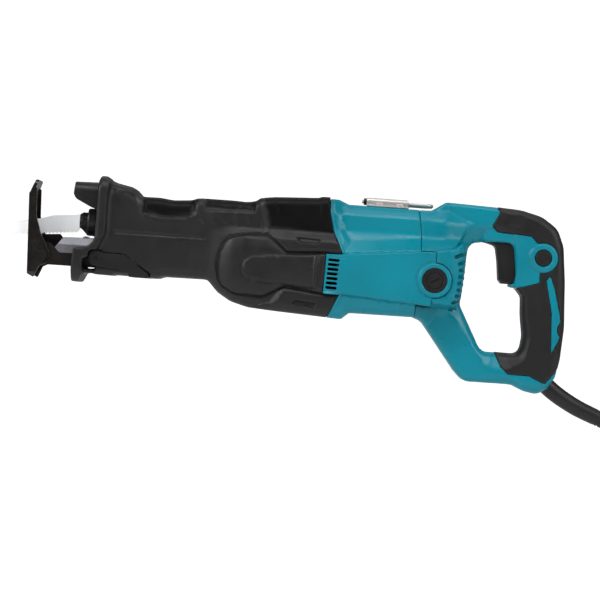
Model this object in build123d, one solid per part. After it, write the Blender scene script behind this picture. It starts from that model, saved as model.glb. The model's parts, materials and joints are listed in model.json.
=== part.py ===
"""Corded reciprocating saw, built as separate pieces in one frame, in millimetres.

Frame: the origin lies on the blade's stroke axis at the nose flange. -X points forward to the blade,
+X back to the handle, +Z up, and -Y to the tool's left side.
The drive: armature pinion -> horizontal crank gear -> roller in the yoke of the plunger -> blade.
"""

import os
from math import cos, degrees, pi, radians, sin, tan

from build123d import *

# ---------------------------------------------------------------- driving dimensions
STROKE = 32.0  # travel of the plunger and blade
CRANK_RADIUS = STROKE / 2
CRANK_X = 132.0  # vertical crank axis
MOTOR_Z = -30.0  # armature axis, parallel to X
GAP = 0.2  # between two fixed pieces that lie side by side
SLIDE_GAP = 0.3  # between pieces that slide on each other
FIT = 0.03  # radial running clearance

BOOT_WALL = 4.0
CASE_OUTSIDE = BOOT_WALL + GAP
CASE_WALL = 2.8
CASE_INSIDE = CASE_OUTSIDE + CASE_WALL
SHELL_WALL = 2.8
TUCK_OUTSIDE = BOOT_WALL + 0.8  # the motor housing's front sleeve reaches inside the boot
TUCK_INSIDE = TUCK_OUTSIDE + 2.4

# Outer skins as rounded box sections: x, bottom z, top z, half width, corner radius.
NOSE = [
    (-4.0, -43.4, 31.0, 31.0, 14.0),
    (24.0, -43.6, 30.0, 31.0, 14.0),
    (34.0, -43.5, 23.4, 30.0, 14.0),
    (58.0, -42.9, 22.4, 29.6, 14.0),
    (80.0, -42.4, 25.0, 31.0, 14.0),
    (95.0, -42.2, 25.3, 33.0, 15.0),
    (122.0, -42.0, 25.2, 33.5, 15.0),
    (133.0, -42.0, 30.0, 33.5, 15.0),
    (150.0, -42.0, 31.2, 33.5, 14.0),
    (206.0, -42.0, 32.6, 33.5, 14.0),
]
BULGE = [
    (88.0, -42.0, -4.0, 31.0, 11.0),
    (95.0, -45.5, -1.0, 33.0, 11.0),
    (101.5, -52.4, 2.0, 36.0, 11.0),
    (113.0, -59.2, 3.0, 40.0, 11.0),
    (127.0, -63.0, 3.0, 42.5, 11.0),
    (146.0, -64.4, 3.0, 43.0, 11.0),
    (206.0, -67.3, 3.0, 43.0, 11.0),
]
BARREL = [
    (187.0, -66.8, -2.0, 43.0, 12.0),
    (205.0, -67.4, -2.0, 43.0, 12.0),
    (212.0, -61.9, -2.0, 43.0, 13.0),
    (300.0, -61.7, -2.0, 43.0, 13.0),
]
BARREL_TOP = [
    (187.0, -25.0, 32.3, 33.5, 13.5),
    (198.0, -25.0, 32.4, 33.5, 12.0),
    (206.0, -25.0, 28.9, 30.0, 12.0),
    (275.0, -25.0, 28.5, 30.0, 12.0),
]
TAIL_BULGE = [
    (262.0, -52.0, -3.0, 43.0, 12.0),
    (290.0, -53.5, -3.5, 42.5, 12.0),
    (302.0, -51.0, -5.0, 39.0, 12.0),
    (308.5, -46.0, -9.0, 33.0, 12.0),
]
TAIL_TOP = [
    (262.0, -25.0, 28.5, 30.0, 12.0),
    (273.0, -22.0, 28.9, 30.0, 12.0),
    (288.0, -14.0, 36.5, 28.0, 12.0),
    (308.0, -2.0, 36.0, 21.0, 9.0),
    (326.0, 6.5, 35.3, 16.6, 8.0),
]
TAIL_FOOT = [
    (262.0, -61.8, -40.0, 33.0, 9.0),
    (272.0, -63.0, -42.0, 31.0, 9.0),
    (286.0, -83.0, -48.0, 17.0, 7.0),
]
HANDLE_HALF = 16.5

# Where the boot ends against the motor housing, and the motor housing against the handle: (x, z).
BOOT_EDGE = [
    (189.5, 60.0),
    (190.5, 20.0),
    (194.0, 6.0),
    (203.5, -13.8),
    (189.5, -14.2),
    (188.8, -47.2),
    (202.5, -47.3),
    (193.5, -66.0),
    (192.0, -80.0),
]
SEAM_X = 268.0
BRUSH = (280.8, MOTOR_Z)  # x, z of the brush axis
BOSS_R = 14.4
BRUSH_CAP_R = 10.2

# Nose and shoe
SHOE_PIN = (-48.3, -31.2)
SHOE_HALF = 19.5
SHOE_PLATE = 2.5
SHOE_LEAN = 2.2  # degrees the shoe leans forward at rest
STAY_HALF = 16.5
LEVER_PIVOT = (-1.0, -31.0)

# Crown gear pair
MODULE = 1.35
PINION_TEETH = 9
GEAR_TEETH = 45
PINION_R = MODULE * PINION_TEETH / 2
GEAR_R = MODULE * GEAR_TEETH / 2
GEAR_FACE = 6.0
PITCH_Z = MOTOR_Z + PINION_R

# Plunger and yoke
PLUNGER_R = 8.0
NECK_R = 5.5
TAIL_R = 6.0
ROLLER_R = 5.5
YOKE_PLAY = 3.5  # the yoke slot is wider than the roller by this much on each side
YOKE_X = CRANK_X - CRANK_RADIUS
YOKE_Z = (-14.0, -5.0)
TAIL_END = 178.6

# Power cord, from inside the handle out and down
CORD_R = 4.2
CORD_PATH = [(374.0, -102.0), (384.0, -112.2), (404.0, -125.4), (430.0, -136.6), (462.0, -148.0)]
CORD_END = 24.0  # straight length at the cut end


# ---------------------------------------------------------------- helpers
def outline(points):
    """Closed face from (across, up) or (across, up, corner radius) points."""
    corners = [(p[0], p[1]) for p in points]
    radii = [p[2] if len(p) > 2 else 0.0 for p in points]
    return make_face(FilletPolyline(corners, radius=radii, close=True))


def side_prism(points, y_low, y_high):
    """An outline drawn in X and Z, as seen from the left side, from y_low to y_high."""
    plane = Plane(origin=(0, y_high, 0), x_dir=(1, 0, 0), z_dir=(0, -1, 0))
    return extrude(plane * outline(points), amount=y_high - y_low)


def front_prism(points, x_low, x_high):
    """An outline drawn in Y and Z, from x_low to x_high."""
    plane = Plane(origin=(x_low, 0, 0), x_dir=(0, 1, 0), z_dir=(1, 0, 0))
    return extrude(plane * outline(points), amount=x_high - x_low)


def block(x, y, z):
    """A box from three (low, high) pairs."""
    size = [high - low for low, high in (x, y, z)]
    centre = [(high + low) / 2 for low, high in (x, y, z)]
    return Pos(*centre) * Box(*size)


def rod(start, direction, length, radius, bore=0.0):
    """A round bar or a ring."""
    plane = Plane(origin=start, z_dir=direction)
    body = extrude(plane * Circle(radius), amount=length)
    if bore:
        body -= extrude(plane * Circle(bore), amount=length)
    return body


def rod_x(x_low, x_high, radius, bore=0.0, y=0.0, z=0.0):
    return rod((x_low, y, z), (1, 0, 0), x_high - x_low, radius, bore)


def rod_y(y_low, y_high, radius, x, z, bore=0.0):
    return rod((x, y_low, z), (0, 1, 0), y_high - y_low, radius, bore)


def rod_z(z_low, z_high, radius, x, y=0.0, bore=0.0):
    return rod((x, y, z_low), (0, 0, 1), z_high - z_low, radius, bore)


def turned(profile, z=0.0):
    """Revolves (x, radius) points about the X direction through (0, 0, z)."""
    plane = Plane(origin=(0, 0, z), x_dir=(1, 0, 0), z_dir=(0, -1, 0))
    return revolve(plane * outline(profile), axis=Axis((0, 0, z), (1, 0, 0)))


def skin(stations, inset=0.0):
    """A body lofted through rounded box sections, shrunk by inset."""
    sections = []
    for x, low, high, half, radius in stations:
        plane = Plane(origin=(x, 0, (low + high) / 2), x_dir=(0, 1, 0), z_dir=(1, 0, 0))
        corner = max(radius - inset, 1.0)
        sections.append(plane * RectangleRounded(2 * (half - inset), high - low - 2 * inset, corner))
    return loft(sections, ruled=True)


def sector(x_low, x_high, r_in, r_out, from_deg, to_deg, z=MOTOR_Z):
    """Part of a ring about the armature axis; 0 degrees points to +Y."""
    steps = 6
    angles = [radians(from_deg + (to_deg - from_deg) * i / steps) for i in range(steps + 1)]
    outer = [(r_out * cos(a), z + r_out * sin(a)) for a in angles]
    inner = [(r_in * cos(a), z + r_in * sin(a)) for a in reversed(angles)]
    return front_prism(outer + inner, x_low, x_high)


def mirrored(shape):
    """The shape's twin on the tool's other side."""
    return mirror(shape, about=Plane.XZ)


def both_sides(shape):
    return Compound([*shape.solids(), *mirrored(shape).solids()])


def pan_screw(top, direction, length, radius, head_r, head_h):
    """A screw whose head sits at top and whose shank runs along direction, with a cross recess."""
    axis = Vector(*direction).normalized()
    back = tuple(Vector(*top) - axis * head_h)
    head = rod(back, direction, head_h, head_r)
    outer_rim = head.edges().filter_by(GeomType.CIRCLE).sort_by_distance(Vector(*back))[0]
    head = chamfer(outer_rim, head_h * 0.3)
    recess_plane = Plane(origin=back, z_dir=direction)
    cross = Rectangle(head_r * 1.1, head_r * 0.28) + Rectangle(head_r * 0.28, head_r * 1.1)
    head -= extrude(recess_plane * cross, amount=head_h * 0.6)
    return head + rod(top, direction, length, radius)


def ball_bearing(start, direction, width, bore_r, outer_r):
    """Two rings and a row of balls, as separate solids."""
    ring = (outer_r - bore_r) * 0.28
    middle = (outer_r + bore_r) / 2
    ball = (outer_r - bore_r) / 2 - ring - 0.06
    inner = rod(start, direction, width, bore_r + ring, bore_r)
    outer = rod(start, direction, width, outer_r, outer_r - ring)
    count = int(2 * pi * middle / (2.6 * ball))
    centre = Plane(origin=start, z_dir=direction).offset(width / 2)
    angles = [2 * pi * i / count for i in range(count)]
    balls = [centre * Pos(middle * cos(a), middle * sin(a), 0) * Sphere(ball) for a in angles]
    return Compound([*inner.solids(), *outer.solids(), *[s for b in balls for s in b.solids()]])


# ---------------------------------------------------------------- blade and clamp
def blade():
    """A tapered blade, canted below the stroke axis, with a straight tang."""
    thickness, pitch, depth = 1.25, 3.175, 1.5
    cant = radians(5.8)
    root, length = -10.2, 122.0

    def place(u, w):
        return (-19.8 - u * cos(cant), w * cos(cant) - u * sin(cant))

    teeth = int(length / pitch)
    lower = []
    for i in range(teeth):
        lower.append(place(i * pitch + 0.6, root + depth))
        lower.append(place(i * pitch + pitch - 0.35, root))
    tip = [place(length + 1.0, root + depth), place(length + 5.5, -5.0), place(length + 1.0, -0.9)]
    upper = [place(67.5, 1.5), place(34.0, 3.0), place(23.0, 5.4), place(0.0, 5.4)]
    tang = [(-19.0, 4.5), (-0.2, 4.5), (-0.2, -4.5), (-19.0, -4.5), (-19.6, root + depth + 0.3)]
    plate = side_prism([*lower, *tip, *upper, *tang], -thickness / 2, thickness / 2)
    return plate - rod_y(-2, 2, 1.9, -11.0, 0.0)


def blade_clamp_sleeve():
    """Twist sleeve of the tool-less clamp: a ribbed front collar, a wide skirt and a thumb lobe."""
    bore = NECK_R + 0.15
    sleeve = turned([(-19.2, bore + 0.6), (-19.2, 5.9), (-16.8, 7.5), (-12.4, 7.5), (-12.4, 10.4),
                     (-11.2, 11.0), (10.6, 11.0), (11.4, 10.2), (11.4, bore)])
    ribs = 10
    for i in range(ribs):
        angle = 2 * pi * (i + 0.5) / ribs
        sleeve -= rod((-20.0, 8.4 * cos(angle), 8.4 * sin(angle)), (1, 0, 0), 7.4, 1.5)
        sleeve -= rod((-6.0, 11.9 * cos(angle), 11.9 * sin(angle)), (1, 0, 0), 18.0, 1.7)
    lobe = side_prism([(-17.5, -6.6), (-12.0, -12.3, 1.5), (-5.0, -12.3, 1.5), (-2.0, -6.6)], -3.0, 3.0)
    for i in range(3):
        lobe -= rod_y(-4, 4, 0.5, -11.2 + i * 2.6, -12.4)
    lobe -= rod_x(-20, 12, bore + 0.8)
    return sleeve + lobe


def clamp_spring():
    """Torsion spring that turns the sleeve shut, in the skirt's rear pocket."""
    coil = Helix(pitch=1.7, height=5.1, radius=7.1, center=(12.6, 0, 0), direction=(1, 0, 0))
    return sweep(Plane(origin=coil @ 0, z_dir=coil % 0) * Circle(0.6), path=coil)


def clamp_lock_pin():
    """Pin through the tang hole that holds the blade in the plunger."""
    return rod_y(-4.6, 4.6, 1.8, -11.0, 0.0)


def plunger():
    """Reciprocating shaft with the blade slot in front, the scotch yoke and the guide tail."""
    shaft = rod_x(-18.0, 14.0, NECK_R) + rod_x(18.6, YOKE_X - 10.0, PLUNGER_R) + rod_x(13.0, 19.0, NECK_R)
    shaft -= block((-19.0, 0.0), (-0.75, 0.75), (-4.8, 4.8))
    shaft -= rod_y(-9.0, 9.0, 1.85, -11.0, 0.0)
    half_slot = ROLLER_R + YOKE_PLAY
    half_length = CRANK_RADIUS + ROLLER_R + 0.9
    wall = 3.6
    yoke = block((YOKE_X - half_slot - wall, YOKE_X + half_slot + wall),
                 (-half_length - 2.6, half_length + 2.6), YOKE_Z)
    yoke -= block((YOKE_X - half_slot, YOKE_X + half_slot), (-half_length, half_length),
                  (YOKE_Z[0] - 1, YOKE_Z[1] + 1))
    bridge = block((YOKE_X - 16.0, YOKE_X + 16.0), (-7.0, 7.0), (YOKE_Z[1], 6.0))
    tail = rod_x(YOKE_X + half_slot, TAIL_END, TAIL_R)
    tail -= block((YOKE_X - half_slot, YOKE_X + half_slot), (-half_length, half_length),
                  (YOKE_Z[0] - 1, YOKE_Z[1]))
    return shaft + yoke + bridge + tail


# ---------------------------------------------------------------- shoe
def shoe_outline():
    """Side flange of the shoe, upright, before it leans."""
    return [(-60.0, 20.6), (-60.0, -47.0, 3.0), (-54.5, -50.0, 1.0), (-50.2, -40.5, 2.0),
            (-43.5, -37.5, 3.0), (-41.0, -29.0, 4.0), (-49.2, -13.0, 14.0), (-53.4, 2.0, 10.0),
            (-53.4, 24.5), (-55.4, 26.5)]


def shoe():
    """Bent plate the work bears on: a front plate with the blade slot, a top lip and two side flanges."""
    front = -60.0
    plate = block((front, front + SHOE_PLATE), (-SHOE_HALF, SHOE_HALF), (-47.0, 20.6))
    lip = side_prism([(front, 20.0), (front + 5.4, 32.0, 0.8), (front + 8.2, 32.0, 0.8),
                      (front + 3.2, 20.0)],
                     -SHOE_HALF, SHOE_HALF)
    flange = side_prism(shoe_outline(), -SHOE_HALF, -SHOE_HALF + SHOE_PLATE)
    body = plate + lip + flange + mirrored(flange)
    body -= front_prism([(-5.0, -26.0, 4.9), (5.0, -26.0, 4.9), (5.0, 13.0, 4.9), (-5.0, 13.0, 4.9)],
                        front - 1, front + 4)
    corner = front_prism([(-SHOE_HALF - 1, -60), (SHOE_HALF + 1, -60), (SHOE_HALF + 1, 40),
                          (-SHOE_HALF - 1, 40)],
                         front - 1, front + 30)
    rounded = front_prism([(-SHOE_HALF, -52, 7), (SHOE_HALF, -52, 7), (SHOE_HALF, 33, 7),
                           (-SHOE_HALF, 33, 7)],
                          front - 2, front + 31)
    body -= corner - rounded
    body -= rod_y(-30, 30, 4.05, SHOE_PIN[0], SHOE_PIN[1])
    return body.rotate(Axis((SHOE_PIN[0], 0, SHOE_PIN[1]), (0, -1, 0)), SHOE_LEAN)


def shoe_pin():
    """Rivet the shoe turns on."""
    half = SHOE_HALF + 0.1
    head = rod_y(-half - 1.6, -half, 4.75, *SHOE_PIN)
    return rod_y(-half, half, 4.0, *SHOE_PIN) + head + mirrored(head)


def shoe_spring():
    """Torsion spring round the rivet that steadies the shoe."""
    coil = Helix(pitch=2.2, height=11.0, radius=5.3, center=(SHOE_PIN[0], -5.5, SHOE_PIN[1]),
                 direction=(0, 1, 0))
    wire = 0.75
    spring = sweep(Plane(origin=coil @ 0, z_dir=coil % 0) * Circle(wire), path=coil)
    return spring


def shoe_stay():
    """Channel that carries the shoe and slides in the nose; its far ear stands up beside the blade."""
    low = -38.6
    base = block((-50.0, 62.0), (-STAY_HALF, STAY_HALF), (low, low + 2.4))
    near = side_prism([(-54.0, -38.6, 4.0), (-54.0, -24.0, 6.0), (-46.5, -20.0, 2.0), (-42.0, -20.4, 2.0),
                       (-33.4, -28.2, 2.0), (62.0, -28.2), (62.0, low)], -STAY_HALF, -STAY_HALF + 2.4)
    far = side_prism([(-54.0, -38.6, 4.0), (-54.0, -16.0, 6.0), (-49.8, -12.9, 1.0), (-36.5, -11.9, 1.0),
                      (-33.0, -16.2, 2.0), (-40.5, -25.0, 2.0), (-33.4, -28.2, 2.0), (62.0, -28.2),
                      (62.0, low)],
                     STAY_HALF - 2.4, STAY_HALF)
    body = base + near + far
    body -= block((-60.0, -40.4), (-11.0, 11.0), (low - 1, low + 4))
    body -= rod_y(-30, 30, 4.02, *SHOE_PIN)
    for i in range(5):
        body -= block((14.0 + 8.0 * i, 17.0 + 8.0 * i), (-9.0, 9.0), (low - 1, low + 4))
    return body


LEVER_OUTLINE = [(-7.4, -24.6, 6.0), (1.0, -24.6, 2.0), (5.0, -26.2, 2.0), (21.6, -26.2, 3.0),
                 (43.2, -41.6, 1.0), (42.8, -44.6, 0.8), (26.8, -44.6, 0.8), (26.2, -41.5, 1.0),
                 (16.0, -38.6, 4.0), (0.0, -37.4, 4.0), (-7.4, -37.4, 6.0)]
ARM = (27.0, 31.2)  # how far out the lever's arms start and end


def shoe_lever():
    """U-shaped lever under the nose that frees and locks the shoe stay."""
    arm = side_prism(LEVER_OUTLINE, -ARM[1], -ARM[0])
    arm -= rod_y(-40, -20, 2.0 + FIT, *LEVER_PIVOT)
    arm -= rod_y(-40, -ARM[1] + 0.8, 1.0, 3.4, -31.9)
    bar = side_prism([(27.4, -41.6), (27.2, -44.6, 0.8), (42.8, -44.6, 0.8), (43.0, -41.6)],
                     -ARM[1] + 0.5, 0)
    half = arm + bar
    return half + mirrored(half)


def lever_pins():
    """Two stub pins in the gear case that the lever turns on."""
    return both_sides(rod_y(-ARM[1] - 0.3, -20.0, 2.0, *LEVER_PIVOT))


# ---------------------------------------------------------------- gear case and boot
def boot_zone(shift=0.0):
    """Everything in front of the boot's rear edge; shift moves that edge back."""
    edge = [(x + shift, z) for x, z in BOOT_EDGE]
    return side_prism([(-80.0, 60.0), *edge, (-80.0, -80.0)], -60, 60)


def nose_solid(inset):
    """Nose and gear bulge together, shrunk by inset."""
    return skin(NOSE, inset) + skin(BULGE, inset)


def lever_window():
    """Space that the lever's arms and bar need in the boot, open downwards so that it can swing out."""
    arm = side_prism([(-8.3, -60.0), (-8.3, -23.6, 7.0), (1.2, -23.6, 2.0), (5.2, -25.2, 2.0),
                      (22.0, -25.2, 3.0), (44.2, -41.0, 1.0), (44.2, -60.0)], -45, -ARM[0] + SLIDE_GAP)
    bar = block((26.4, 44.2), (-45, 0), (-48, -40.0))
    pin = rod_y(-45, 0, 2.0 + GAP, *LEVER_PIVOT)
    half = arm + bar + pin
    return half + mirrored(half)


def flange_profile():
    """The flange from the side: upright collar that sweeps forward and becomes the lower hand guard."""
    return [(-1.6, 38.4, 1.5), (3.6, 38.4, 1.5), (6.6, 30.0, 6.0), (4.2, 20.0), (4.2, -10.0, 14.0),
            (-3.0, -27.5, 10.0), (-13.0, -32.0, 3.0), (-13.0, -44.0, 2.0), (-15.4, -51.7, 1.5),
            (-21.4, -51.7, 1.5), (-22.0, -36.0), (-21.0, -23.4, 1.0), (-10.5, -22.8, 10.0),
            (-3.0, -15.0, 12.0), (-3.2, 10.0), (-3.2, 28.0)]


def nose_boot():
    """Rubber cover over the gear case, with the finger flange and the lower guard."""
    collar = side_prism(flange_profile(), -36.0, 36.0)
    collar &= front_prism([(-36.0, -51.7, 12.0), (36.0, -51.7, 12.0), (36.0, 38.4, 20.0),
                           (-36.0, 38.4, 20.0)], -30, 10)
    lip = side_prism([(-13.5, -39.7), (-11.0, -43.4), (30.0, -43.6), (30.0, -39.7)], -22, 22)
    outer = nose_solid(0) & block((-3.0, 230), (-60, 60), (-80, 60))
    body = (outer & boot_zone()) + collar + lip
    body -= nose_solid(BOOT_WALL)
    body -= block((-40.0, 0.0), (-19.0, 19.0), (-39.7, 30.0))
    body -= block((-40.0, -2.9), (-27.0, 27.0), (-13.0, 27.0))
    body -= lever_window()
    body -= hood_prism(-40.0, 3.0, GAP)
    for z_mid, x_mid in ((-3.2, 174.5), (-56.7, 174.0)):
        body -= block((x_mid - 8.5, x_mid + 8.5), (-60, -41.6), (z_mid - 1.7, z_mid + 1.7))
        body -= block((x_mid - 8.5, x_mid + 8.5), (41.6, 60), (z_mid - 1.7, z_mid + 1.7))
    return body


def hood_prism(x_low, x_high, grow):
    """The hood's arched section, made larger by grow."""
    half, top = 21.0 + grow, 33.4 + grow
    arch = 11.0 + grow
    corners = [(-half, -5.0), (half, -5.0), (half, top, arch), (-half, top, arch)]
    return front_prism(corners, x_low, x_high)


def nose_shield():
    """Hood over the blade clamp that stands out of the nose."""
    side = [(-24.0, 32.4, 1.0), (2.4, 33.2), (2.4, 10.2), (-8.6, 11.2, 1.0), (-22.6, 18.0, 6.0),
            (-24.6, 22.0, 3.0)]
    hood = side_prism(side, -21.0, 21.0) & hood_prism(-40, 10, 0.0)
    return hood - hood_prism(-40, 10, -2.4)


def gear_case():
    """Aluminium case: plunger bore in the nose, stay channel under it, gear room behind."""
    outer = nose_solid(CASE_OUTSIDE) & block((2.6, 186.0), (-60, 60), (-80, 60))
    snout = side_prism([(-37.6, -24.0, 1.0), (-31.4, -14.8, 1.5), (10.0, -13.4), (10.0, -28.2),
                        (-33.4, -28.2, 1.5)],
                       -16.4, 16.4)
    snout &= front_prism([(-16.4, -28.2), (16.4, -28.2), (16.4, -21.0, 2.0), (12.0, -13.0, 4.0),
                          (-12.0, -13.0, 4.0), (-16.4, -21.0, 2.0)], -50, 10)
    snout += rod_y(-13.0, 13.0, 2.6, -12.9, -15.4)
    body = outer + snout
    gear_room = nose_solid(CASE_INSIDE) & block((78.0, 200.0), (-60, 60), (-80, 60))
    gear_room -= rod_z(-70.0, -28.6, 18.5, CRANK_X)
    body -= gear_room
    body -= rod_x(-40.0, 46.5, 13.3)
    body -= rod_x(40.0, 90.0, 10.0)
    body -= block((-60.0, 68.0), (-STAY_HALF - SLIDE_GAP, STAY_HALF + SLIDE_GAP),
                  (-50.0, -28.2 + SLIDE_GAP))
    body -= rod_z(-38.2, -20.0, 15.0, CRANK_X)
    body -= rod_z(-49.0, -20.0, 8.5, CRANK_X)
    body -= rod_z(-55.4, -48.2, 11.0, CRANK_X)
    body -= rod_y(-40, 40, 2.0, *LEVER_PIVOT) - block((-60, 60), (-19.9, 19.9), (-60, 60))
    for y, z in CASE_SCREWS:
        body += rod_x(172.0, 186.0, 5.6, y=y, z=z) & outer
        body -= rod_x(176.0, 190.0, 2.0, y=y, z=z)
    return body


CASE_SCREWS = [(-31.5, -13.5), (31.5, -13.5), (-30.8, -52.4), (30.8, -52.4)]  # y, z


def bearing_plate():
    """Aluminium plate that closes the gear room and holds the front armature bearing and tail bush."""
    inset = CASE_INSIDE + 0.15
    plate = nose_solid(inset) & block((169.4, 183.0), (-60, 60), (-80, 60))
    plate -= (block((160, 178.6), (-60, 60), (-80, 60)) - rod_x(160, 190, 16.5, z=MOTOR_Z)
              - rod_x(160, 190, 11.5))
    plate -= rod_x(171.2, 190.0, 13.0, z=MOTOR_Z)
    plate -= rod_x(160.0, 190.0, 9.0, z=MOTOR_Z)
    plate -= rod_x(160.0, 190.0, 8.0)
    for y, z in CASE_SCREWS:
        plate -= rod_x(165.0, 190.0, 6.2, y=y, z=z)
    return plate


def case_screws():
    """Four long screws that hold the motor housing to the gear case."""
    screws = [pan_screw((193.2, y, z), (-1, 0, 0), 16.0, 1.9, 3.8, 2.4) for y, z in CASE_SCREWS]
    return Compound([s for screw in screws for s in screw.solids()])


def front_bush():
    return rod_x(47.0, 73.0, 9.98, PLUNGER_R + FIT)


def rear_bush():
    return rod_x(169.6, TAIL_END - 0.4, 7.98, TAIL_R + FIT)


def plunger_seal():
    """Felt ring that wipes the plunger."""
    return rod_x(44.2, 46.4, 13.2, PLUNGER_R + 0.1)


# ---------------------------------------------------------------- crank
def gear_tooth_ring():
    """Crown teeth that hang below the gear, radial and wider outwards."""
    count, share = GEAR_TEETH, 0.36
    inner, outer = GEAR_R - GEAR_FACE / 2, GEAR_R + GEAR_FACE / 2
    tip, root = PITCH_Z - 0.85 * MODULE, PITCH_Z + 1.25 * MODULE
    teeth = []
    pressure = tan(radians(20.0))

    def width(radius, height):
        pitch = 2 * pi * radius / count
        return share * pitch + 2 * (height - PITCH_Z) * pressure * radius / GEAR_R

    for i in range(count):
        faces = []
        for radius in (inner, outer):
            low, high = width(radius, tip) / 2, width(radius, root) / 2
            plane = Plane(origin=(radius, 0, 0), x_dir=(0, 1, 0), z_dir=(1, 0, 0))
            corners = [(-low, tip), (low, tip), (high, root + 0.2), (-high, root + 0.2)]
            faces.append(plane * Polygon(*corners, align=None))
        teeth.append(Pos(CRANK_X, 0, 0) * Rot(0, 0, 360.0 * i / count) * loft(faces, ruled=True))
    return teeth


def crank_gear():
    """Crown gear with hub, counterweight land and the seat of the crank pin."""
    root = PITCH_Z + 1.25 * MODULE
    disc = rod_z(root, -17.2, GEAR_R + GEAR_FACE / 2, CRANK_X)
    hub = rod_z(-28.4, root, 10.0, CRANK_X)
    weight = rod_z(-17.2, -15.2, GEAR_R, CRANK_X)
    weight &= block((CRANK_X + 6.0, CRANK_X + 40.0), (-40, 40), (-20, -10))
    boss = rod_z(-17.2, -15.4, 6.5, YOKE_X)
    body = disc + hub + weight + boss
    body = body.fuse(*gear_tooth_ring())
    for angle in (60, 120, 240, 300):
        x, y = CRANK_X + 19 * cos(radians(angle)), 19 * sin(radians(angle))
        body -= rod_z(-30.0, -10.0, 4.2, x, y)
    body -= rod_z(-40.0, -10.0, 6.0, CRANK_X)
    body -= rod_z(-30.0, -10.0, 3.5, YOKE_X)
    return body


def crank_shaft():
    return rod_z(-55.2, -16.6, 6.0, CRANK_X)


def crank_pin():
    return rod_z(-22.0, -5.9, 3.5, YOKE_X)


def crank_roller():
    return rod_z(-15.1, -6.1, ROLLER_R, YOKE_X, bore=3.5 + FIT)


def crank_bearing():
    return ball_bearing((CRANK_X, 0, -38.0), (0, 0, 1), 9.0, 6.0 + FIT, 15.0 - FIT)


def crank_foot_bearing():
    return rod_z(-55.2, -48.4, 11.0 - FIT, CRANK_X, bore=6.0 + FIT)


# ---------------------------------------------------------------- motor
def pinion_profile():
    """Outline of the pinion about its centre, (y, z offset) points with straight-sided slim teeth."""
    points = []
    tip, root = PINION_R + 0.85 * MODULE, PINION_R - 1.1 * MODULE
    step = 2 * pi / PINION_TEETH
    flanks = ((root, 0.27), (PINION_R, 0.185), (tip, 0.075))
    for i in range(PINION_TEETH):
        centre = pi / 2 + (i + 0.5) * step
        for radius, share in flanks:
            angle = centre - share * step
            points.append((radius * cos(angle), MOTOR_Z + radius * sin(angle)))
        for radius, share in reversed(flanks):
            angle = centre + share * step
            points.append((radius * cos(angle), MOTOR_Z + radius * sin(angle)))
    return points


def armature_shaft():
    """Steel shaft with the pinion cut on its front end."""
    pinion = front_prism(pinion_profile(), 158.6, 166.6)
    shaft = turned([(166.0, 0.0), (166.0, 4.4), (170.9, 4.4), (170.9, 5.0), (204.0, 5.0), (204.0, 6.0),
                    (268.0, 6.0), (268.0, 5.4), (290.8, 5.4), (290.8, 4.0), (300.0, 4.0), (300.4, 3.6),
                    (300.4, 0.0)], z=MOTOR_Z)
    return pinion + shaft


def armature_core():
    """Slotted lamination stack."""
    core = rod_x(212.0, 256.0, 19.0, 6.0, z=MOTOR_Z)
    slots = 12
    for i in range(slots):
        angle = 2 * pi * i / slots
        centre = (211.0, 15.0 * cos(angle), MOTOR_Z + 15.0 * sin(angle))
        core -= rod(centre, (1, 0, 0), 46.0, 2.6)
        mouth = Pos(234.0, 18.0 * cos(angle), MOTOR_Z + 18.0 * sin(angle))
        core -= mouth * Rot(degrees(angle), 0, 0) * Box(46.0, 3.0, 1.6)
    return core


def armature_windings():
    """Copper in the slots and the two end turns."""
    pieces = [turned([(204.6, 6.2), (204.6, 13.0), (206.5, 16.5), (211.9, 17.6), (211.9, 6.2)], z=MOTOR_Z),
              turned([(256.1, 6.2), (256.1, 17.6), (261.0, 16.5), (264.4, 12.0), (264.4, 6.2)], z=MOTOR_Z)]
    slots = 12
    for i in range(slots):
        angle = 2 * pi * i / slots
        centre = (211.9, 15.0 * cos(angle), MOTOR_Z + 15.0 * sin(angle))
        pieces.append(rod(centre, (1, 0, 0), 44.2, 2.5))
    return pieces[0].fuse(*pieces[1:])


def commutator():
    body = rod_x(269.0, 285.2, 13.2, 5.4, z=MOTOR_Z) + rod_x(266.4, 269.4, 14.4, 6.2, z=MOTOR_Z)
    bars = 24
    for i in range(bars):
        turn = Pos(278.0, 0, MOTOR_Z) * Rot(360.0 * i / bars, 0, 0) * Pos(0, 13.0, 0)
        body -= turn * Box(16.0, 1.6, 0.5)
    return body


def cooling_fan():
    """Plastic fan that draws air through the motor."""
    fan = rod_x(186.4, 188.2, 22.6, 5.0, z=MOTOR_Z) + rod_x(186.4, 199.6, 8.5, 5.0, z=MOTOR_Z)
    blades = 11
    for i in range(blades):
        spoke = Pos(193.6, 0, MOTOR_Z) * Rot(360.0 * i / blades, 0, 0)
        fan += spoke * Pos(0, 15.4, 0) * Rot(0, 0, 18) * Box(10.8, 12.0, 1.4)
    return fan


def front_bearing():
    return ball_bearing((171.2, 0, MOTOR_Z), (1, 0, 0), 8.0, 5.0 + FIT, 13.0 - FIT)


def rear_bearing():
    return ball_bearing((291.2, 0, MOTOR_Z), (1, 0, 0), 7.0, 4.0 + FIT, 11.0 - FIT)


def bearing_cup():
    """Rubber cup round the rear bearing."""
    return rod_x(291.0, 299.6, 12.4, 11.0, z=MOTOR_Z) + rod_x(298.4, 299.6, 12.4, 9.0, z=MOTOR_Z)


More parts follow.
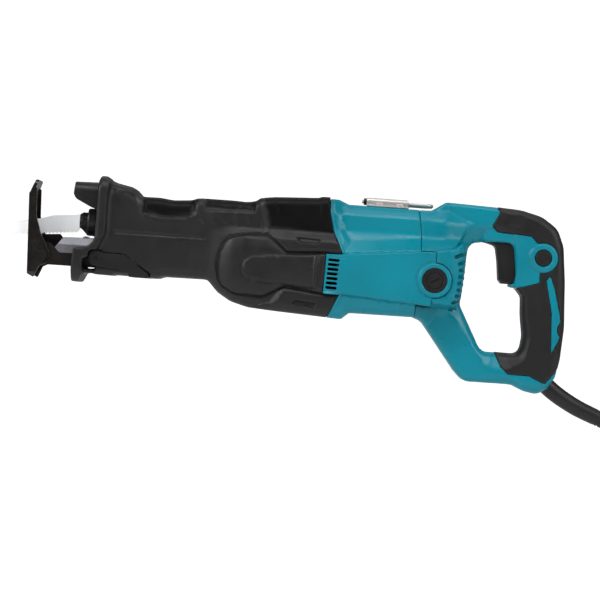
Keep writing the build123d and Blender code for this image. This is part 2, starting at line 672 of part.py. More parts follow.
def stator_core():
    """Field laminations: a flattened stack with two poles, left and right."""
    half_w, half_h = 40.0, 25.4
    stack = front_prism([(-half_w, MOTOR_Z - half_h, 18), (half_w, MOTOR_Z - half_h, 18),
                         (half_w, MOTOR_Z + half_h, 18), (-half_w, MOTOR_Z + half_h, 18)], 213.0, 255.0)
    stack -= rod_x(212.0, 256.0, 19.7, z=MOTOR_Z)
    for start in (48.0, 100.0, 228.0, 280.0):
        stack -= sector(212.0, 256.0, 19.0, 25.6, start, start + 32.0)
    return stack


def field_coils():
    """Two saddle coils, one round each pole."""
    coil = sector(205.0, 261.0, 20.4, 25.2, -78.0, 78.0)
    coil -= sector(212.9, 255.1, 18.0, 30.0, -50.2, 50.2)
    return both_sides(coil)


def fan_baffle():
    """Plastic ring that guides the air from the motor into the fan."""
    plate = skin(BARREL, TUCK_INSIDE + GAP) & block((201.4, 203.4), (-60, 60), (-80, 60))
    return plate - rod_x(200.0, 205.0, 21.0, z=MOTOR_Z) & block((200, 205), (-60, 60), (-59, -6.2))


def brush_holders():
    x, z = BRUSH
    tube = block((x - 4.6, x + 4.6), (-33.4, -15.2), (z - 6.6, z + 6.6))
    tube -= block((x - 3.4, x + 3.4), (-34, -15), (z - 5.4, z + 5.4))
    return both_sides(tube)


def carbon_brushes():
    x, z = BRUSH
    return both_sides(block((x - 3.3, x + 3.3), (-27.0, -13.3), (z - 5.3, z + 5.3)))


def brush_caps():
    """Screwed caps that close the brush holders, with a driver slot."""
    x, z = BRUSH
    cap = rod_y(-44.3, -41.4, BRUSH_CAP_R, x, z) + rod_y(-41.4, -33.8, 7.6, x, z)
    cap -= rod_y(-46.0, -43.5, 7.4, x, z) - rod_y(-46.0, -40.0, 6.3, x, z)
    slot = Pos(x, -44.0, z) * Rot(0, -27, 0) * Box(8.0, 2.4, 1.4)
    return both_sides(cap - slot)


# ---------------------------------------------------------------- motor housing
PANEL = [(189.5, -14.6), (268.0, -7.0), (281.0, -7.0), (281.0, -51.6), (266.0, -51.0), (189.0, -46.4)]


def motor_housing_zone(grow):
    """Side view of what belongs to the motor housing rather than the handle."""
    x, z = BRUSH
    front = side_prism([(180.0, 60.0), (SEAM_X - 3 + grow, 60.0), (SEAM_X + grow, -6.6 + grow),
                        (281.0 + grow, -6.6 + grow), (281.0 + grow, z), (278.9 + grow, -51.8 - grow),
                        (SEAM_X - 2 + grow, -50.8 - grow), (SEAM_X - 3 + grow, -80.0),
                        (180.0, -80.0)], -60, 60)
    return front + rod_y(-60, 60, BOSS_R + grow, x, z)


def vent_slots():
    """Seven air outlets on each side, over the fan."""
    cutters = []
    for i in range(7):
        z = -18.9 - i * 3.85
        x = 196.2 - i * 0.12
        cutters.append(block((x - 4.5, x + 4.5), (-60, -30), (z - 1.15, z + 1.15)))
    return cutters


def rear_bearing_seat():
    """Cup for the rear bearing on four arms."""
    arms = block((287.0, 290.4), (-38.0, 38.0), (MOTOR_Z - 4.5, MOTOR_Z + 4.5))
    arms += block((287.0, 290.4), (-4.5, 4.5), (-42.9, -8.0))
    cup = rod_x(287.0, 302.2, 15.2, z=MOTOR_Z)
    return cup + (arms & skin(BARREL, 6.0)) - rod_x(280.0, 300.6, 12.4, z=MOTOR_Z)


def motor_housing():
    """Plastic barrel round the motor, with the side panels, brush bosses and rear bearing seat."""
    x, z = BRUSH
    raised = side_prism(PANEL, -44.2, 44.2)
    raised &= skin([(188.0, -47.0, -13.0, 44.2, 3.0), (282.0, -52.0, -6.6, 44.2, 3.0)])
    outer = (skin(BARREL) + skin(BARREL_TOP) + raised) & motor_housing_zone(0.0)
    outer -= boot_zone(GAP)
    tucked = skin(BARREL, TUCK_OUTSIDE) + skin(BARREL_TOP, TUCK_OUTSIDE)
    tucked &= block((187.0, 220.0), (-60, 60), (-80, 60))
    sleeve = skin(BARREL, 4.8) & block((255.0, 290.4), (-60, 60), (-43.5, 60))
    hollow = skin(BARREL, SHELL_WALL) + skin(BARREL_TOP, SHELL_WALL)
    hollow &= block((209.0, 262.0), (-60, 60), (-80, 60))
    narrow = skin(BARREL, TUCK_INSIDE) + skin(BARREL_TOP, TUCK_INSIDE)
    narrow &= block((180.0, 297.0), (-60, 60), (-80, 60))
    body = outer + tucked + sleeve - hollow - narrow
    for screw_y, screw_z in CASE_SCREWS:
        body += rod_x(187.0, 193.0, 5.6, y=screw_y, z=screw_z) & skin(BARREL, TUCK_OUTSIDE)
        body -= rod_x(180.0, 200.0, 2.1, y=screw_y, z=screw_z)
    body += rear_bearing_seat()
    tower = rod_y(33.6, 45.0, BOSS_R, x, z)
    pocket = rod_y(41.2, 60, BRUSH_CAP_R + 0.2, x, z) + rod_y(30, 60, 7.65, x, z)
    for boss, hole in ((tower, pocket), (mirrored(tower), mirrored(pocket))):
        body = body + boss - hole
    for slot in vent_slots():
        body = body - slot - mirrored(slot)
    for screw_x in HOOK_SCREW_X:
        body -= rod_z(20.0, 40.0, 1.7, screw_x, HOOK_FOOT_Y)
    return body


# ---------------------------------------------------------------- rafter hook
HOOK_AXIS = (0.0, 33.0)  # y, z of the hook's hinge line
HOOK_X = (221.2, 256.2)
HOOK_SCREW_X = (231.8, 248.8)
HOOK_FOOT_Y = -13.0
HOOK_WIRE_R = 1.6


def hook_bracket():
    """Rolled sheet-steel knuckle with a foot for two screws."""
    y, z = HOOK_AXIS
    roll = rod_x(*HOOK_X, 3.6, HOOK_WIRE_R + 0.25, y=y, z=z)
    foot = block(HOOK_X, (-19.0, y), (28.95, 30.3))
    skirt = block(HOOK_X, (y - 3.6, y - 2.3), (28.95, 33.0))
    body = roll + foot + skirt
    body -= rod_x(HOOK_X[0] - 1, HOOK_X[1] + 1, HOOK_WIRE_R + 0.25, y=y, z=z)
    for x in HOOK_SCREW_X:
        body -= rod_z(20, 40, 1.9, x, HOOK_FOOT_Y)
    return body


def hook_screws():
    screws = [pan_screw((x, HOOK_FOOT_Y, 30.35), (0, 0, -1), 6.4, 1.65, 3.6, 2.1) for x in HOOK_SCREW_X]
    return Compound([s for screw in screws for s in screw.solids()])


def rafter_hook():
    """Bent wire that swings up over the tool to hang it."""
    y, z = HOOK_AXIS
    start, end = HOOK_X[0] - 4.0, HOOK_X[1] + 20.0
    corners = [(start, y, z), (end, y, z), (end, 25.0, z), (HOOK_X[0] + 4.0, 25.0, z),
               (HOOK_X[0] + 1.0, 17.0, z)]
    path = FilletPolyline(corners, radius=[5.0, 5.0, 4.0])
    return sweep(Plane(origin=path @ 0, z_dir=path % 0) * Circle(HOOK_WIRE_R), path=path)


def hook_collar():
    """Friction collar on the wire's front end."""
    y, z = HOOK_AXIS
    return rod_x(HOOK_X[0] - 2.6, HOOK_X[0] - 0.2, 2.9, HOOK_WIRE_R + FIT, y=y, z=z)


# ---------------------------------------------------------------- handle
D_OUTER = [(262.0, 28.5), (273.0, 28.9, 6.0), (284.5, 36.6, 6.0), (330.0, 35.3, 60.0),
           (362.0, 33.6, 40.0), (386.5, 20.0, 22.0), (391.5, -25.0, 40.0), (393.6, -62.0, 60.0),
           (390.4, -92.0, 30.0), (387.6, -110.0, 10.0), (378.0, -119.2, 9.0), (366.0, -119.2, 10.0),
           (357.0, -112.6, 12.0), (311.0, -112.6, 14.0), (273.5, -63.0, 6.0), (262.0, -61.8)]
D_HOLE = [(307.4, -22.0), (308.2, 6.0, 9.0), (326.0, 6.2, 3.0), (343.5, 6.2, 6.0), (348.4, -3.0, 8.0),
          (350.6, -24.0, 3.0), (347.6, -30.6, 2.0), (356.4, -33.6, 7.0), (357.2, -52.0, 40.0),
          (359.9, -72.0, 14.0), (358.8, -86.6, 7.0), (324.0, -86.4, 9.0), (305.0, -48.6, 4.0)]
GRIP_ZONE = [(330.7, 45.0), (333.4, 31.0), (327.9, 19.5, 1.5), (332.1, 14.6, 1.5), (361.0, 13.2, 4.0),
             (366.0, 7.6), (384.4, 7.6, 4.0), (384.4, -16.8, 4.0), (370.0, -16.8, 1.0),
             (370.0, -25.9, 1.5), (352.4, -30.9), (340.0, -31.0), (330.0, -86.3), (336.8, -86.3),
             (342.5, -98.3, 4.0), (348.7, -103.7, 3.0), (366.2, -103.9, 4.0), (380.0, -110.0, 2.0),
             (391.9, -95.3), (400.0, -95.3), (400.0, 45.0)]
STRIPE = [(378.9, -18.6, 1.5), (375.5, -23.4, 1.0), (381.6, -49.2, 60.0), (383.6, -85.4),
          (390.6, -70.1, 0.8), (387.8, -66.0), (387.8, -61.5), (390.4, -56.7, 0.8), (383.6, -30.6, 60.0)]
LOCK = (371.9, -4.7)
LOCK_RING_R = 12.4
GRIP_SKIN = 1.6


def shrunk(points, amount):
    """The outline moved inwards by amount, or outwards if it's negative."""
    return offset(outline(points), -amount)


def side_face_prism(face, y_low, y_high):
    plane = Plane(origin=(0, y_high, 0), x_dir=(1, 0, 0), z_dir=(0, -1, 0))
    return extrude(plane * face, amount=y_high - y_low)


def handle_solid(inset):
    """The whole handle body, shrunk by inset, before it is split into halves."""
    loop = shrunk(D_OUTER, inset) - shrunk(D_HOLE, -inset)
    half = HANDLE_HALF - inset
    d_shape = side_face_prism(loop, -half, half)
    d_shape = d_shape - block((200, 262.5 + inset), (-60, 60), (-200, 100))
    if inset == 0:
        d_shape = soften(d_shape)
    opening = side_face_prism(shrunk(D_HOLE, -inset), -60, 60)
    rest = (skin(TAIL_BULGE, inset) + skin(TAIL_TOP, inset) + skin(TAIL_FOOT, inset)) - opening
    return d_shape + rest


def soften(shape):
    """Rounds the long rims of the D so that it is kind to the hand."""
    flat_edges = [e for e in shape.edges() if e.bounding_box().size.Y < 0.01]
    side_edges = [e for e in flat_edges if abs(abs(e.center().Y) - HANDLE_HALF) < 0.01]
    rims = [e for e in side_edges if e.center().X > 263.0]
    for radius in (5.0, 4.0, 3.0, 2.0):
        try:
            return fillet(rims, radius)
        except Exception:
            continue
    return shape


def handle_body():
    """Both halves in one, hollow, without the grip layer."""
    behind = motor_housing_zone(GAP)
    outer = handle_solid(0.0)
    inner = handle_solid(SHELL_WALL)
    body = outer - inner - behind
    for i, (x, z) in enumerate(REAR_VENTS):
        body -= Pos(x, 0, z) * Rot(0, -18, 0) * Box(9.5, 100, 1.7)
    trigger_way = side_prism([(320.0, 5.0), (326.0, 8.6), (362.0, 8.6), (362.0, -28.9), (330.0, -28.9)],
                             -11.6, 11.6)
    body -= trigger_way
    body -= rod_y(-40, 0, 7.1, *LOCK)
    body -= cord_hole()
    return body, outer


REAR_VENTS = [(302.5 + 2.2 * sin(pi * i / 7), -9.0 - i * 5.7) for i in range(8)]


def cord_hole():
    start = Vector(CORD_PATH[0][0], 0, CORD_PATH[0][1])
    end = Vector(CORD_PATH[1][0], 0, CORD_PATH[1][1])
    way = (end - start).normalized()
    return rod(tuple(start - way * 2), tuple(way), 40.0, 7.9)


def grip_zone():
    """Where the soft layer lies on the handle."""
    zone = side_prism(GRIP_ZONE, -60, 60) - side_prism(STRIPE, -60, 60)
    return zone - rod_y(-60, 60, LOCK_RING_R, *LOCK)


def handle_pieces():
    """Left and right shells and their moulded-on grips."""
    body, outer = handle_body()
    zone = grip_zone()
    layer = (body & zone) - handle_solid(GRIP_SKIN)
    shell = body - (zone - handle_solid(GRIP_SKIN + GAP / 4))
    left = block((200, 500), (-60, -0.05), (-200, 100))
    right = block((200, 500), (0.05, 60), (-200, 100))
    within = handle_solid(GRIP_SKIN + 0.3)
    right_shell = shell & right
    for x, z in HANDLE_SCREWS:
        right_shell += rod_y(0.05, 40.0, 5.2, x, z) & within
        right_shell -= rod_y(0, 40, 1.9, x, z) + rod_y(10.5, 60, 3.9, x, z)
    left_shell = shell & left
    for x, z in HANDLE_SCREWS:
        left_shell += rod_y(-40.0, -0.05, 4.2, x, z) & within
        left_shell -= rod_y(-12.0, 0, 1.6, x, z)
    right_grip = layer & right
    for x, z in HANDLE_SCREWS:
        right_grip -= rod_y(0, 60, 3.9, x, z)
    return left_shell, right_shell, layer & left, right_grip


HANDLE_SCREWS = [(290.5, 24.0), (350.0, 24.5), (381.0, -42.0), (380.5, -86.5), (322.0, -101.0),
                 (297.0, -73.0)]


def handle_screws():
    screws = [pan_screw((x, 10.55, z), (0, -1, 0), 20.0, 1.55, 3.4, 2.2) for x, z in HANDLE_SCREWS]
    return Compound([s for screw in screws for s in screw.solids()])


TRIGGER_SPRING_Z = -12.0


def trigger():
    """Two-finger trigger; it slides back into the handle over its spring."""
    shape = side_prism([(322.6, 5.6), (332.0, 3.0, 5.0), (334.4, -10.0, 20.0), (336.0, -25.0, 3.0),
                        (338.6, -28.2, 2.0), (352.0, -28.2), (352.0, 5.6)], -10.8, 10.8)
    shape -= rod_x(340.0, 353.0, 5.0, z=TRIGGER_SPRING_Z)
    rims = [e for e in shape.edges() if e.center().X < 337.5 and abs(abs(e.center().Y) - 10.8) < 0.01
            and e.bounding_box().size.Z > 1.0]
    return fillet(rims, 1.6)


def trigger_switch():
    """Speed-control switch behind the trigger."""
    body = block((360.0, 383.0), (-9.5, 9.5), (-26.0, 6.0))
    return body - rod_y(-20, -3.0, 7.4, *LOCK)


def trigger_spring():
    """Return spring between the trigger and the switch."""
    coil = Helix(pitch=2.2, height=11.0, radius=4.0, center=(348.0, 0, TRIGGER_SPRING_Z),
                 direction=(1, 0, 0))
    return sweep(Plane(origin=coil @ 0, z_dir=coil % 0) * Circle(0.6), path=coil)


def lock_button():
    """Round lock-on button on the left of the handle."""
    x, z = LOCK
    button = rod_y(-17.4, -7.0, 6.8, x, z)
    crown = button.edges().filter_by(GeomType.CIRCLE).sort_by(Axis.Y)[0]
    return fillet(crown, 1.0)


def cord_curve(points):
    return Spline([(x, 0, z) for x, z in points])


def power_cord():
    """Two-core cable, cut square at its end."""
    path = cord_curve(CORD_PATH)
    cable = sweep(Plane(origin=path @ 0, z_dir=path % 0) * Circle(CORD_R), path=path)
    return cable + rod(tuple(path @ 1), tuple(path % 1), CORD_END, CORD_R)


def cord_guard():
    """Rubber sleeve that keeps the cable from kinking where it leaves the handle."""
    path = cord_curve(CORD_PATH)
    stations = [(0.0, 7.6), (0.16, 7.6), (0.5, 7.0), (0.86, 6.6)]
    sections = [Plane(origin=path @ t, z_dir=path % t) * Circle(r) for t, r in stations]
    outer = loft(sections)
    bore = sweep(Plane(origin=path @ 0, z_dir=path % 0) * Circle(CORD_R + GAP / 2), path=path)
    return outer - bore


def cord_clamp():
    """Strap across the cable inside the handle, with its two screws."""
    along = (Vector(384.0, 0, -112.2) - Vector(374.0, 0, -102.0)).normalized()
    centre = Vector(374.0, 0, -102.0) - along * 6.0
    strap = Plane(origin=tuple(centre), x_dir=(0, 1, 0), z_dir=tuple(along)) * Box(22.0, 3.0, 7.0)
    return strap


def build_all():
    left, right, grip_left, grip_right = handle_pieces()
    makers = [blade, blade_clamp_sleeve, clamp_spring, clamp_lock_pin, plunger, shoe, shoe_pin,
              shoe_spring, shoe_stay, shoe_lever, lever_pins, nose_boot, nose_shield, gear_case,
              bearing_plate, case_screws, front_bush, rear_bush, plunger_seal, crank_gear, crank_shaft,
              crank_pin, crank_roller, crank_bearing, crank_foot_bearing, armature_shaft, armature_core,
              armature_windings, commutator, cooling_fan, front_bearing, rear_bearing, bearing_cup,
              stator_core, field_coils, fan_baffle, brush_holders, carbon_brushes, brush_caps,
              motor_housing, hook_bracket, hook_screws, rafter_hook, hook_collar, handle_screws, trigger,
              trigger_switch, trigger_spring, lock_button, power_cord, cord_guard, cord_clamp]
    pieces = {maker.__name__: maker() for maker in makers}
    pieces["handle_left"] = left
    pieces["handle_right"] = right
    pieces["grip_left"] = grip_left
    pieces["grip_right"] = grip_right
    return pieces


if __name__ == "__main__":
    os.makedirs("parts", exist_ok=True)
    for name, shape in build_all().items():
        export_step(shape, f"parts/{name}.step")
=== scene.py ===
"""Looks of the corded reciprocating saw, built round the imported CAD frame.

Shapes are worked out in millimetres and turned into metres when a mesh is made. The moulded shells
and grips are distance fields on a regular lattice. Each is drawn as the tool looks from its left side:
outlines, and maps of how far the surface stands out sideways. OpenVDB then turns the field into a mesh.
"""

import json
from math import cos, pi, radians, sin

import bpy
import numpy as np
import openvdb
from mathutils import Matrix, Vector

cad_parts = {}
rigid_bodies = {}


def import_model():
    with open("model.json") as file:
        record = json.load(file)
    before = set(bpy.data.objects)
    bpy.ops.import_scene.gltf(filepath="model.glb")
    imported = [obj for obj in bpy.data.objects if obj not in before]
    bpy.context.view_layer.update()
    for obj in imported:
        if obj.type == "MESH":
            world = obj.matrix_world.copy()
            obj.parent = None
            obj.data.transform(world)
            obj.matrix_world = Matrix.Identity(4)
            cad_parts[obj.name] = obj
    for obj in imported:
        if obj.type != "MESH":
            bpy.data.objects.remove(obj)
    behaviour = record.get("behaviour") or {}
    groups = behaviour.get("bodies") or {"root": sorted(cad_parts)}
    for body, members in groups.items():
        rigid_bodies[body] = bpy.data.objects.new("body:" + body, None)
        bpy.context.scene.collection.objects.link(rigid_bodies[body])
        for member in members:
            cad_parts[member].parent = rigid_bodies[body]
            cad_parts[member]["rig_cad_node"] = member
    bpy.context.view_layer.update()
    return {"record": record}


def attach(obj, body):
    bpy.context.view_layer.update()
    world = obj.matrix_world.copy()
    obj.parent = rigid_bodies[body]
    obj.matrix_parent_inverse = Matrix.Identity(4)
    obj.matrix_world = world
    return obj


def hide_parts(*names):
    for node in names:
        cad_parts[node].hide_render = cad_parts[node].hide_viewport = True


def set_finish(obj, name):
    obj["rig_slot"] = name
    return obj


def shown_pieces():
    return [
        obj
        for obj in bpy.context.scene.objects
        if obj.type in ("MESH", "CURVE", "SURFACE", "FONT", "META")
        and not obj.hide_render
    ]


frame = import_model()

MM = 0.001
MOTOR_Z = -30.0  # height of the motor's axis
BRUSH = (280.8, MOTOR_Z)  # middle of the brush caps, from the side
BOSS_R = 14.4  # boss round a brush cap
LOCK = (371.9, -4.7)  # middle of the lock button, from the side
MOTOR_HALF = 42.4  # half width at the side panels
HALF_GAP = 0.06  # half the seam between the left and right shells
SEAM_ROUND = 0.5  # rounding along the seams
SHELL_WALL = 2.6
STEP = 0.5  # lattice spacing


# ---------------------------------------------------------------- side view maps
class Lattice:
    """Sample points in a box. Maps in x and z have one layer and spread along y by broadcasting."""

    def __init__(self, low, high, step=STEP):
        self.low = np.array(low, np.float32)
        self.step = step
        axes = [np.arange(a, b + step, step, dtype=np.float32) for a, b in zip(low, high)]
        self.x = axes[0][:, None, None]
        self.y = axes[1][None, :, None]
        self.z = axes[2][None, None, :]


class Spots:
    """Loose points that the side view maps can be read at."""

    def __init__(self, x, z):
        self.x = x[:, None, None]
        self.z = z[:, None, None]


def rounded_path(points):
    """Closed path through (x, z) or (x, z, corner radius) points."""
    path = []
    for i, (x, z, *radius) in enumerate(points):
        corner = np.array((x, z), float)
        if not radius:
            path.append(corner)
            continue
        back = np.array(points[i - 1][:2]) - corner
        ahead = np.array(points[(i + 1) % len(points)][:2]) - corner
        reach = [np.linalg.norm(side) for side in (back, ahead)]
        back, ahead = back / reach[0], ahead / reach[1]
        half_angle = np.arccos(np.clip(back @ ahead, -1, 1)) / 2
        cut = min(radius[0] / np.tan(half_angle), 0.49 * min(reach))
        for t in np.linspace(0, 1, 7):
            path.append(corner + back * cut * (1 - t) ** 2 + ahead * cut * t**2)
    return path


def segment_distance(lat, a, b):
    """Squared distance in the side view to the segment from a to b."""
    ex, ez = b[0] - a[0], b[1] - a[1]
    t = np.clip(((lat.x - a[0]) * ex + (lat.z - a[1]) * ez) / (ex * ex + ez * ez + 1e-9), 0, 1)
    return (lat.x - a[0] - ex * t) ** 2 + (lat.z - a[1] - ez * t) ** 2


def outline(lat, points):
    """Signed distance to a closed outline in the side view, negative inside."""
    path = rounded_path(points)
    nearest = np.float32(1e9)
    inside = False
    for a, b in zip(path, path[1:] + path[:1]):
        nearest = np.minimum(nearest, segment_distance(lat, a, b))
        if a[1] != b[1]:
            crosses = (a[1] > lat.z) != (b[1] > lat.z)
            inside = inside ^ crosses & (lat.x < (b[0] - a[0]) * (lat.z - a[1]) / (b[1] - a[1]) + a[0])
    return (np.where(inside, -1, 1) * np.sqrt(nearest)).astype(np.float32)


def line(lat, points):
    """Distance in the side view to an open line."""
    pieces = [segment_distance(lat, a, b) for a, b in zip(points, points[1:])]
    return np.sqrt(np.minimum.reduce(pieces)).astype(np.float32)


def circle(lat, centre, radius):
    """Signed distance to a circle in the side view."""
    return np.hypot(lat.x - centre[0], lat.z - centre[1]) - radius


def raised(distance, width):
    """0 outside an outline, rising smoothly to 1 at width inside it."""
    t = np.clip(-distance / width, 0, 1)
    return t * t * (3 - 2 * t)


def chamfered(distance, width):
    """0 outside an outline, rising in a straight slope to 1 at width inside it."""
    return np.clip(-distance / width, 0, 1)


def coved(distance, width):
    """0 outside an outline, rising in a hollow curve to a crisp crease at width inside it."""
    return np.clip(-distance / width, 0, 1) ** 2


def domed(distance, width):
    """0 outside an outline, rising steeply at first and flattening to 1 at width inside it."""
    return np.sqrt(1 - (1 - np.clip(-distance / width, 0, 1)) ** 2)


def groove(distance, width=0.55):
    """1 on a line, fading to 0 at about twice the width."""
    return np.exp(-((distance / width) ** 2))


def blurred(field, cells):
    """A map averaged over a square of cells, to soften its creases."""
    kernel = np.ones(2 * cells + 1) / (2 * cells + 1)
    padded = np.pad(field[:, 0, :], cells, mode="edge")
    rows = np.apply_along_axis(np.convolve, 0, padded, kernel, "valid")
    return np.apply_along_axis(np.convolve, 1, rows, kernel, "valid")[:, None, :].astype(np.float32)


def narrowed(half, reach, lat):
    """The lowest value of a map within reach on either side, so that walls stay thick at steps."""
    cells = round(reach / lat.step)
    for axis in (0, 2):
        padded = np.pad(half, [(cells, cells) if a == axis else (0, 0) for a in range(3)], mode="edge")
        windows = np.lib.stride_tricks.sliding_window_view(padded, 2 * cells + 1, axis)
        half = windows.min(-1)
    return half


def half_widths(lat, stations, soften=1.2):
    """Map of half widths from stations: x, then (z, half width) knots from the top down."""
    xs = [station[0] for station in stations]
    knots = np.array([station[1] for station in stations], float)
    result = np.empty((lat.x.size, 1, lat.z.size), np.float32)
    for i, x in enumerate(lat.x[:, 0, 0]):
        z_knots = [np.interp(x, xs, knots[:, k, 0]) for k in range(knots.shape[1])]
        halves = [np.interp(x, xs, knots[:, k, 1]) for k in range(knots.shape[1])]
        result[i, 0] = np.interp(lat.z[0, 0], z_knots[::-1], halves[::-1])
    return blurred(result, max(1, round(soften / lat.step)))


# ---------------------------------------------------------------- solids
def meet(a, b, radius):
    """The space in both solids, with the edge between them rounded."""
    a, b = a + radius, b + radius
    return np.minimum(np.maximum(a, b), 0) + np.hypot(np.maximum(a, 0), np.maximum(b, 0)) - radius


def join(a, b, radius):
    """Both solids, with the corner between them filled."""
    h = np.maximum(radius - np.abs(a - b), 0) / radius
    return np.minimum(a, b) - h * h * radius / 4


def cut(solid, *holes):
    """The solid without the holes."""
    for hole in holes:
        solid = np.maximum(solid, -hole)
    return solid


def side_solid(lat, edge, half, rim):
    """Solid with this outline from the side and these half widths, its rims rounded by rim."""
    return meet(edge, np.abs(lat.y) - half, rim)


def box_field(lat, x, y, z):
    """Box from (low, high) pairs; y is measured from the middle, on both sides."""
    side = np.abs(lat.y)
    along = np.maximum(x[0] - lat.x, lat.x - x[1])
    across = np.maximum(y[0] - side, side - y[1])
    upright = np.maximum(z[0] - lat.z, lat.z - z[1])
    return np.maximum(along, np.maximum(across, upright))


def front_arch(lat, half, low, high, radius):
    """Rounded rectangle seen from the front, running all along x."""
    across = np.abs(lat.y) - half
    up = np.abs(lat.z - (low + high) / 2) - (high - low) / 2
    return meet(across, up, radius)


def sample(field, points):
    """The field between lattice points, for index coordinates."""
    top = np.array(field.shape) - 1.001
    points = np.clip(points, 0, top)
    base = points.astype(int)
    part = points - base
    total = 0
    for corner in np.ndindex(2, 2, 2):
        weight = np.prod(np.where(corner, part, 1 - part), axis=1)
        i, j, k = (base + corner).T
        total = total + weight * field[i, j, k]
    return total


def slopes(field, points):
    """Unit normals of the field at index coordinates."""
    result = np.empty((len(points), 3))
    for axis in range(3):
        shift = np.zeros(3)
        shift[axis] = 0.6
        result[:, axis] = sample(field, points + shift) - sample(field, points - shift)
    return result / np.maximum(np.linalg.norm(result, axis=1, keepdims=True), 1e-9)


def placed(name, data):
    """New object with this mesh, light or camera, in the scene."""
    thing = bpy.data.objects.new(name, data)
    bpy.context.collection.objects.link(thing)
    return thing


def settled(field, points, spacing):
    """Points moved on to the field's zero surface, for index coordinates."""
    for _ in range(2):
        step_back = np.clip(sample(field, points) / spacing, -0.7, 0.7)
        points = points - 0.8 * step_back[:, None] * slopes(field, points)
    return points


def field_mesh(name, lat, field, merge=0.25):
    """Mesh object of the field's zero surface, with its own smooth normals."""
    field = np.ascontiguousarray(np.broadcast_to(field, (lat.x.size, lat.y.size, lat.z.size)), np.float32)
    band = 3 * lat.step
    volume = openvdb.FloatGrid(background=band)
    volume.copyFromArray(np.clip(field, -band, band))
    points, triangles, quads = volume.convertToPolygons(isovalue=0.0, adaptivity=merge)
    points = settled(field, points.astype(float), lat.step)
    normal = slopes(field, points)
    faces = [tuple(face) for face in quads] + [tuple(face) for face in triangles]
    mesh = bpy.data.meshes.new(name)
    mesh.from_pydata((points * lat.step + lat.low) * MM, [], faces)
    mesh.validate()
    mesh.shade_smooth()
    if len(mesh.vertices) == len(normal):
        mesh.normals_split_custom_set_from_vertices(normal)
    return placed(name, mesh)


def paint_darker_rubber(thing, outlines):
    """Marks the vertices inside these side view outlines for darker, less glossy rubber."""
    places = np.empty(len(thing.data.vertices) * 3, np.float32)
    thing.data.vertices.foreach_get("co", places)
    spots = Spots(places[0::3] / MM, places[2::3] / MM)
    value = np.zeros(len(spots.x), np.float32)
    for points in outlines:
        value = np.maximum(value, raised(outline(spots, points), 2.0)[:, 0, 0])
    thing.data.attributes.new("smooth_rubber", "FLOAT", "POINT").data.foreach_set("value", value)


def stand_for(thing, body, slot, *nodes):
    """The piece rides on its CAD body, takes its slot and replaces these CAD nodes."""
    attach(thing, body)
    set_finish(thing, slot)
    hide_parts(*nodes)


# ---------------------------------------------------------------- boot; outlines are (x, z, corner radius)
BOOT_REAR = [
    (189.5, 60), (190.5, 20), (194, 6), (203.5, -13.8), (189.5, -14.2), (188.8, -47.2), (202.5, -47.3),
    (193.5, -66), (192, -90),
]
NOSE_EDGE = [
    (-4, 34.4), (7.6, 34.2, 3), (26.3, 30.4, 4), (33.3, 23.4, 4), (48.4, 23.6, 20), (59.3, 22.2, 20),
    (74.3, 23.3, 8), (80.6, 25.4, 8), (109.8, 25.4, 20), (121.7, 24.9, 6), (128.1, 26.2, 3),
    (132.3, 29, 3), (144.1, 30.6, 8), (181.8, 32.5, 1), (183.2, 33.6, 1), (230, 33.7), (230, -69),
    (193.6, -66.8), (145.4, -64.3, 20), (126.9, -62.9, 20), (112.6, -59, 16), (101.3, -52.3, 16),
    (91.8, -42.1, 6), (55.1, -42.5, 2), (50.9, -44.3, 2), (44.5, -44.5, 1), (24, -43.9, 2),
    (-4, -43.4),
]
FLANGE_EDGE = [
    (-1.6, 38.4, 1.5), (3.2, 38.4, 1.5), (5.6, 32, 4), (4.2, 20, 20), (4.2, -10, 14), (-3, -27.5, 10),
    (-13, -32, 3), (-12.4, -44, 4), (-15.4, -51.7, 2), (-21.4, -51.7, 2), (-22, -36),
    (-21, -23.4, 1.5), (-10.5, -22.8, 10), (-3, -15, 12), (-3.2, 10), (-3.2, 28),
]
DOME = [
    (140, -0.5, 6), (121.6, -1.6, 14), (106, -6, 14), (100.5, -19, 12), (99.4, -31, 14),
    (103, -45.5, 12), (116, -52.2, 14), (140, -53, 6), (157, -43.4, 2), (192, -48, 1), (192, -13.5, 1),
    (157, -15.5, 3),
]
PLATEAU = [(184, -14), (127.1, -19.6, 9), (119.5, -27, 8), (121, -37.5, 9), (130, -40, 8), (184, -44.4)]
UPPER_COLLAR = [
    (129, 70), (128.4, 26, 3), (133.2, 17, 6), (136.5, 1, 6), (156.1, -16, 2), (184, -14.2),
    (230, -14.2), (230, 70),
]
LOWER_COLLAR = [
    (118, -90), (126.9, -62.9, 2), (144.8, -56.4, 4), (154.7, -43.4, 3), (230, -48.6), (230, -90),
]
REAR_BAND = [(179.6, -10), (179.3, -52), (230, -52), (230, -10)]
WINDOWS = [
    [(163.5, -1.8), (184.6, -2.4), (182.4, -6.6), (168, -6.4)],
    [(165.5, -54.3), (184.6, -55.6), (182.4, -59.6), (163.5, -58.6)],
]
FRONT_DIP = [(32.5, 70), (33.4, 8, 5), (49, 4.6, 8), (69, 5, 8), (80.5, 11, 4), (80.5, 70)]
REAR_DIP = [(83.5, 70), (84.5, 14, 3), (129.5, 15, 2), (128, 70)]
DIP_SHELF = [(80, 15), (84, 4), (131, 4), (130, 15)]
FRONT_DIP_DEPTH = 2.9
REAR_DIP_DEPTH = 2.0
FINGER_PITCH = 10.2
FINGER_DEPTH = 0.6
NOSE_PAD_RISE = 1.6
NOSE_PAD = [(3, 70), (3, 27.5), (26, 24, 6), (32, 13, 4), (33.5, 5), (36.5, 5), (35, 70)]
NOSE_LINE = [(11.7, -8.0), (87.3, -8.4)]
REAR_LINES = [[(145.4, 34), (146.4, 14)], [(183.4, 34), (184.0, 14)]]
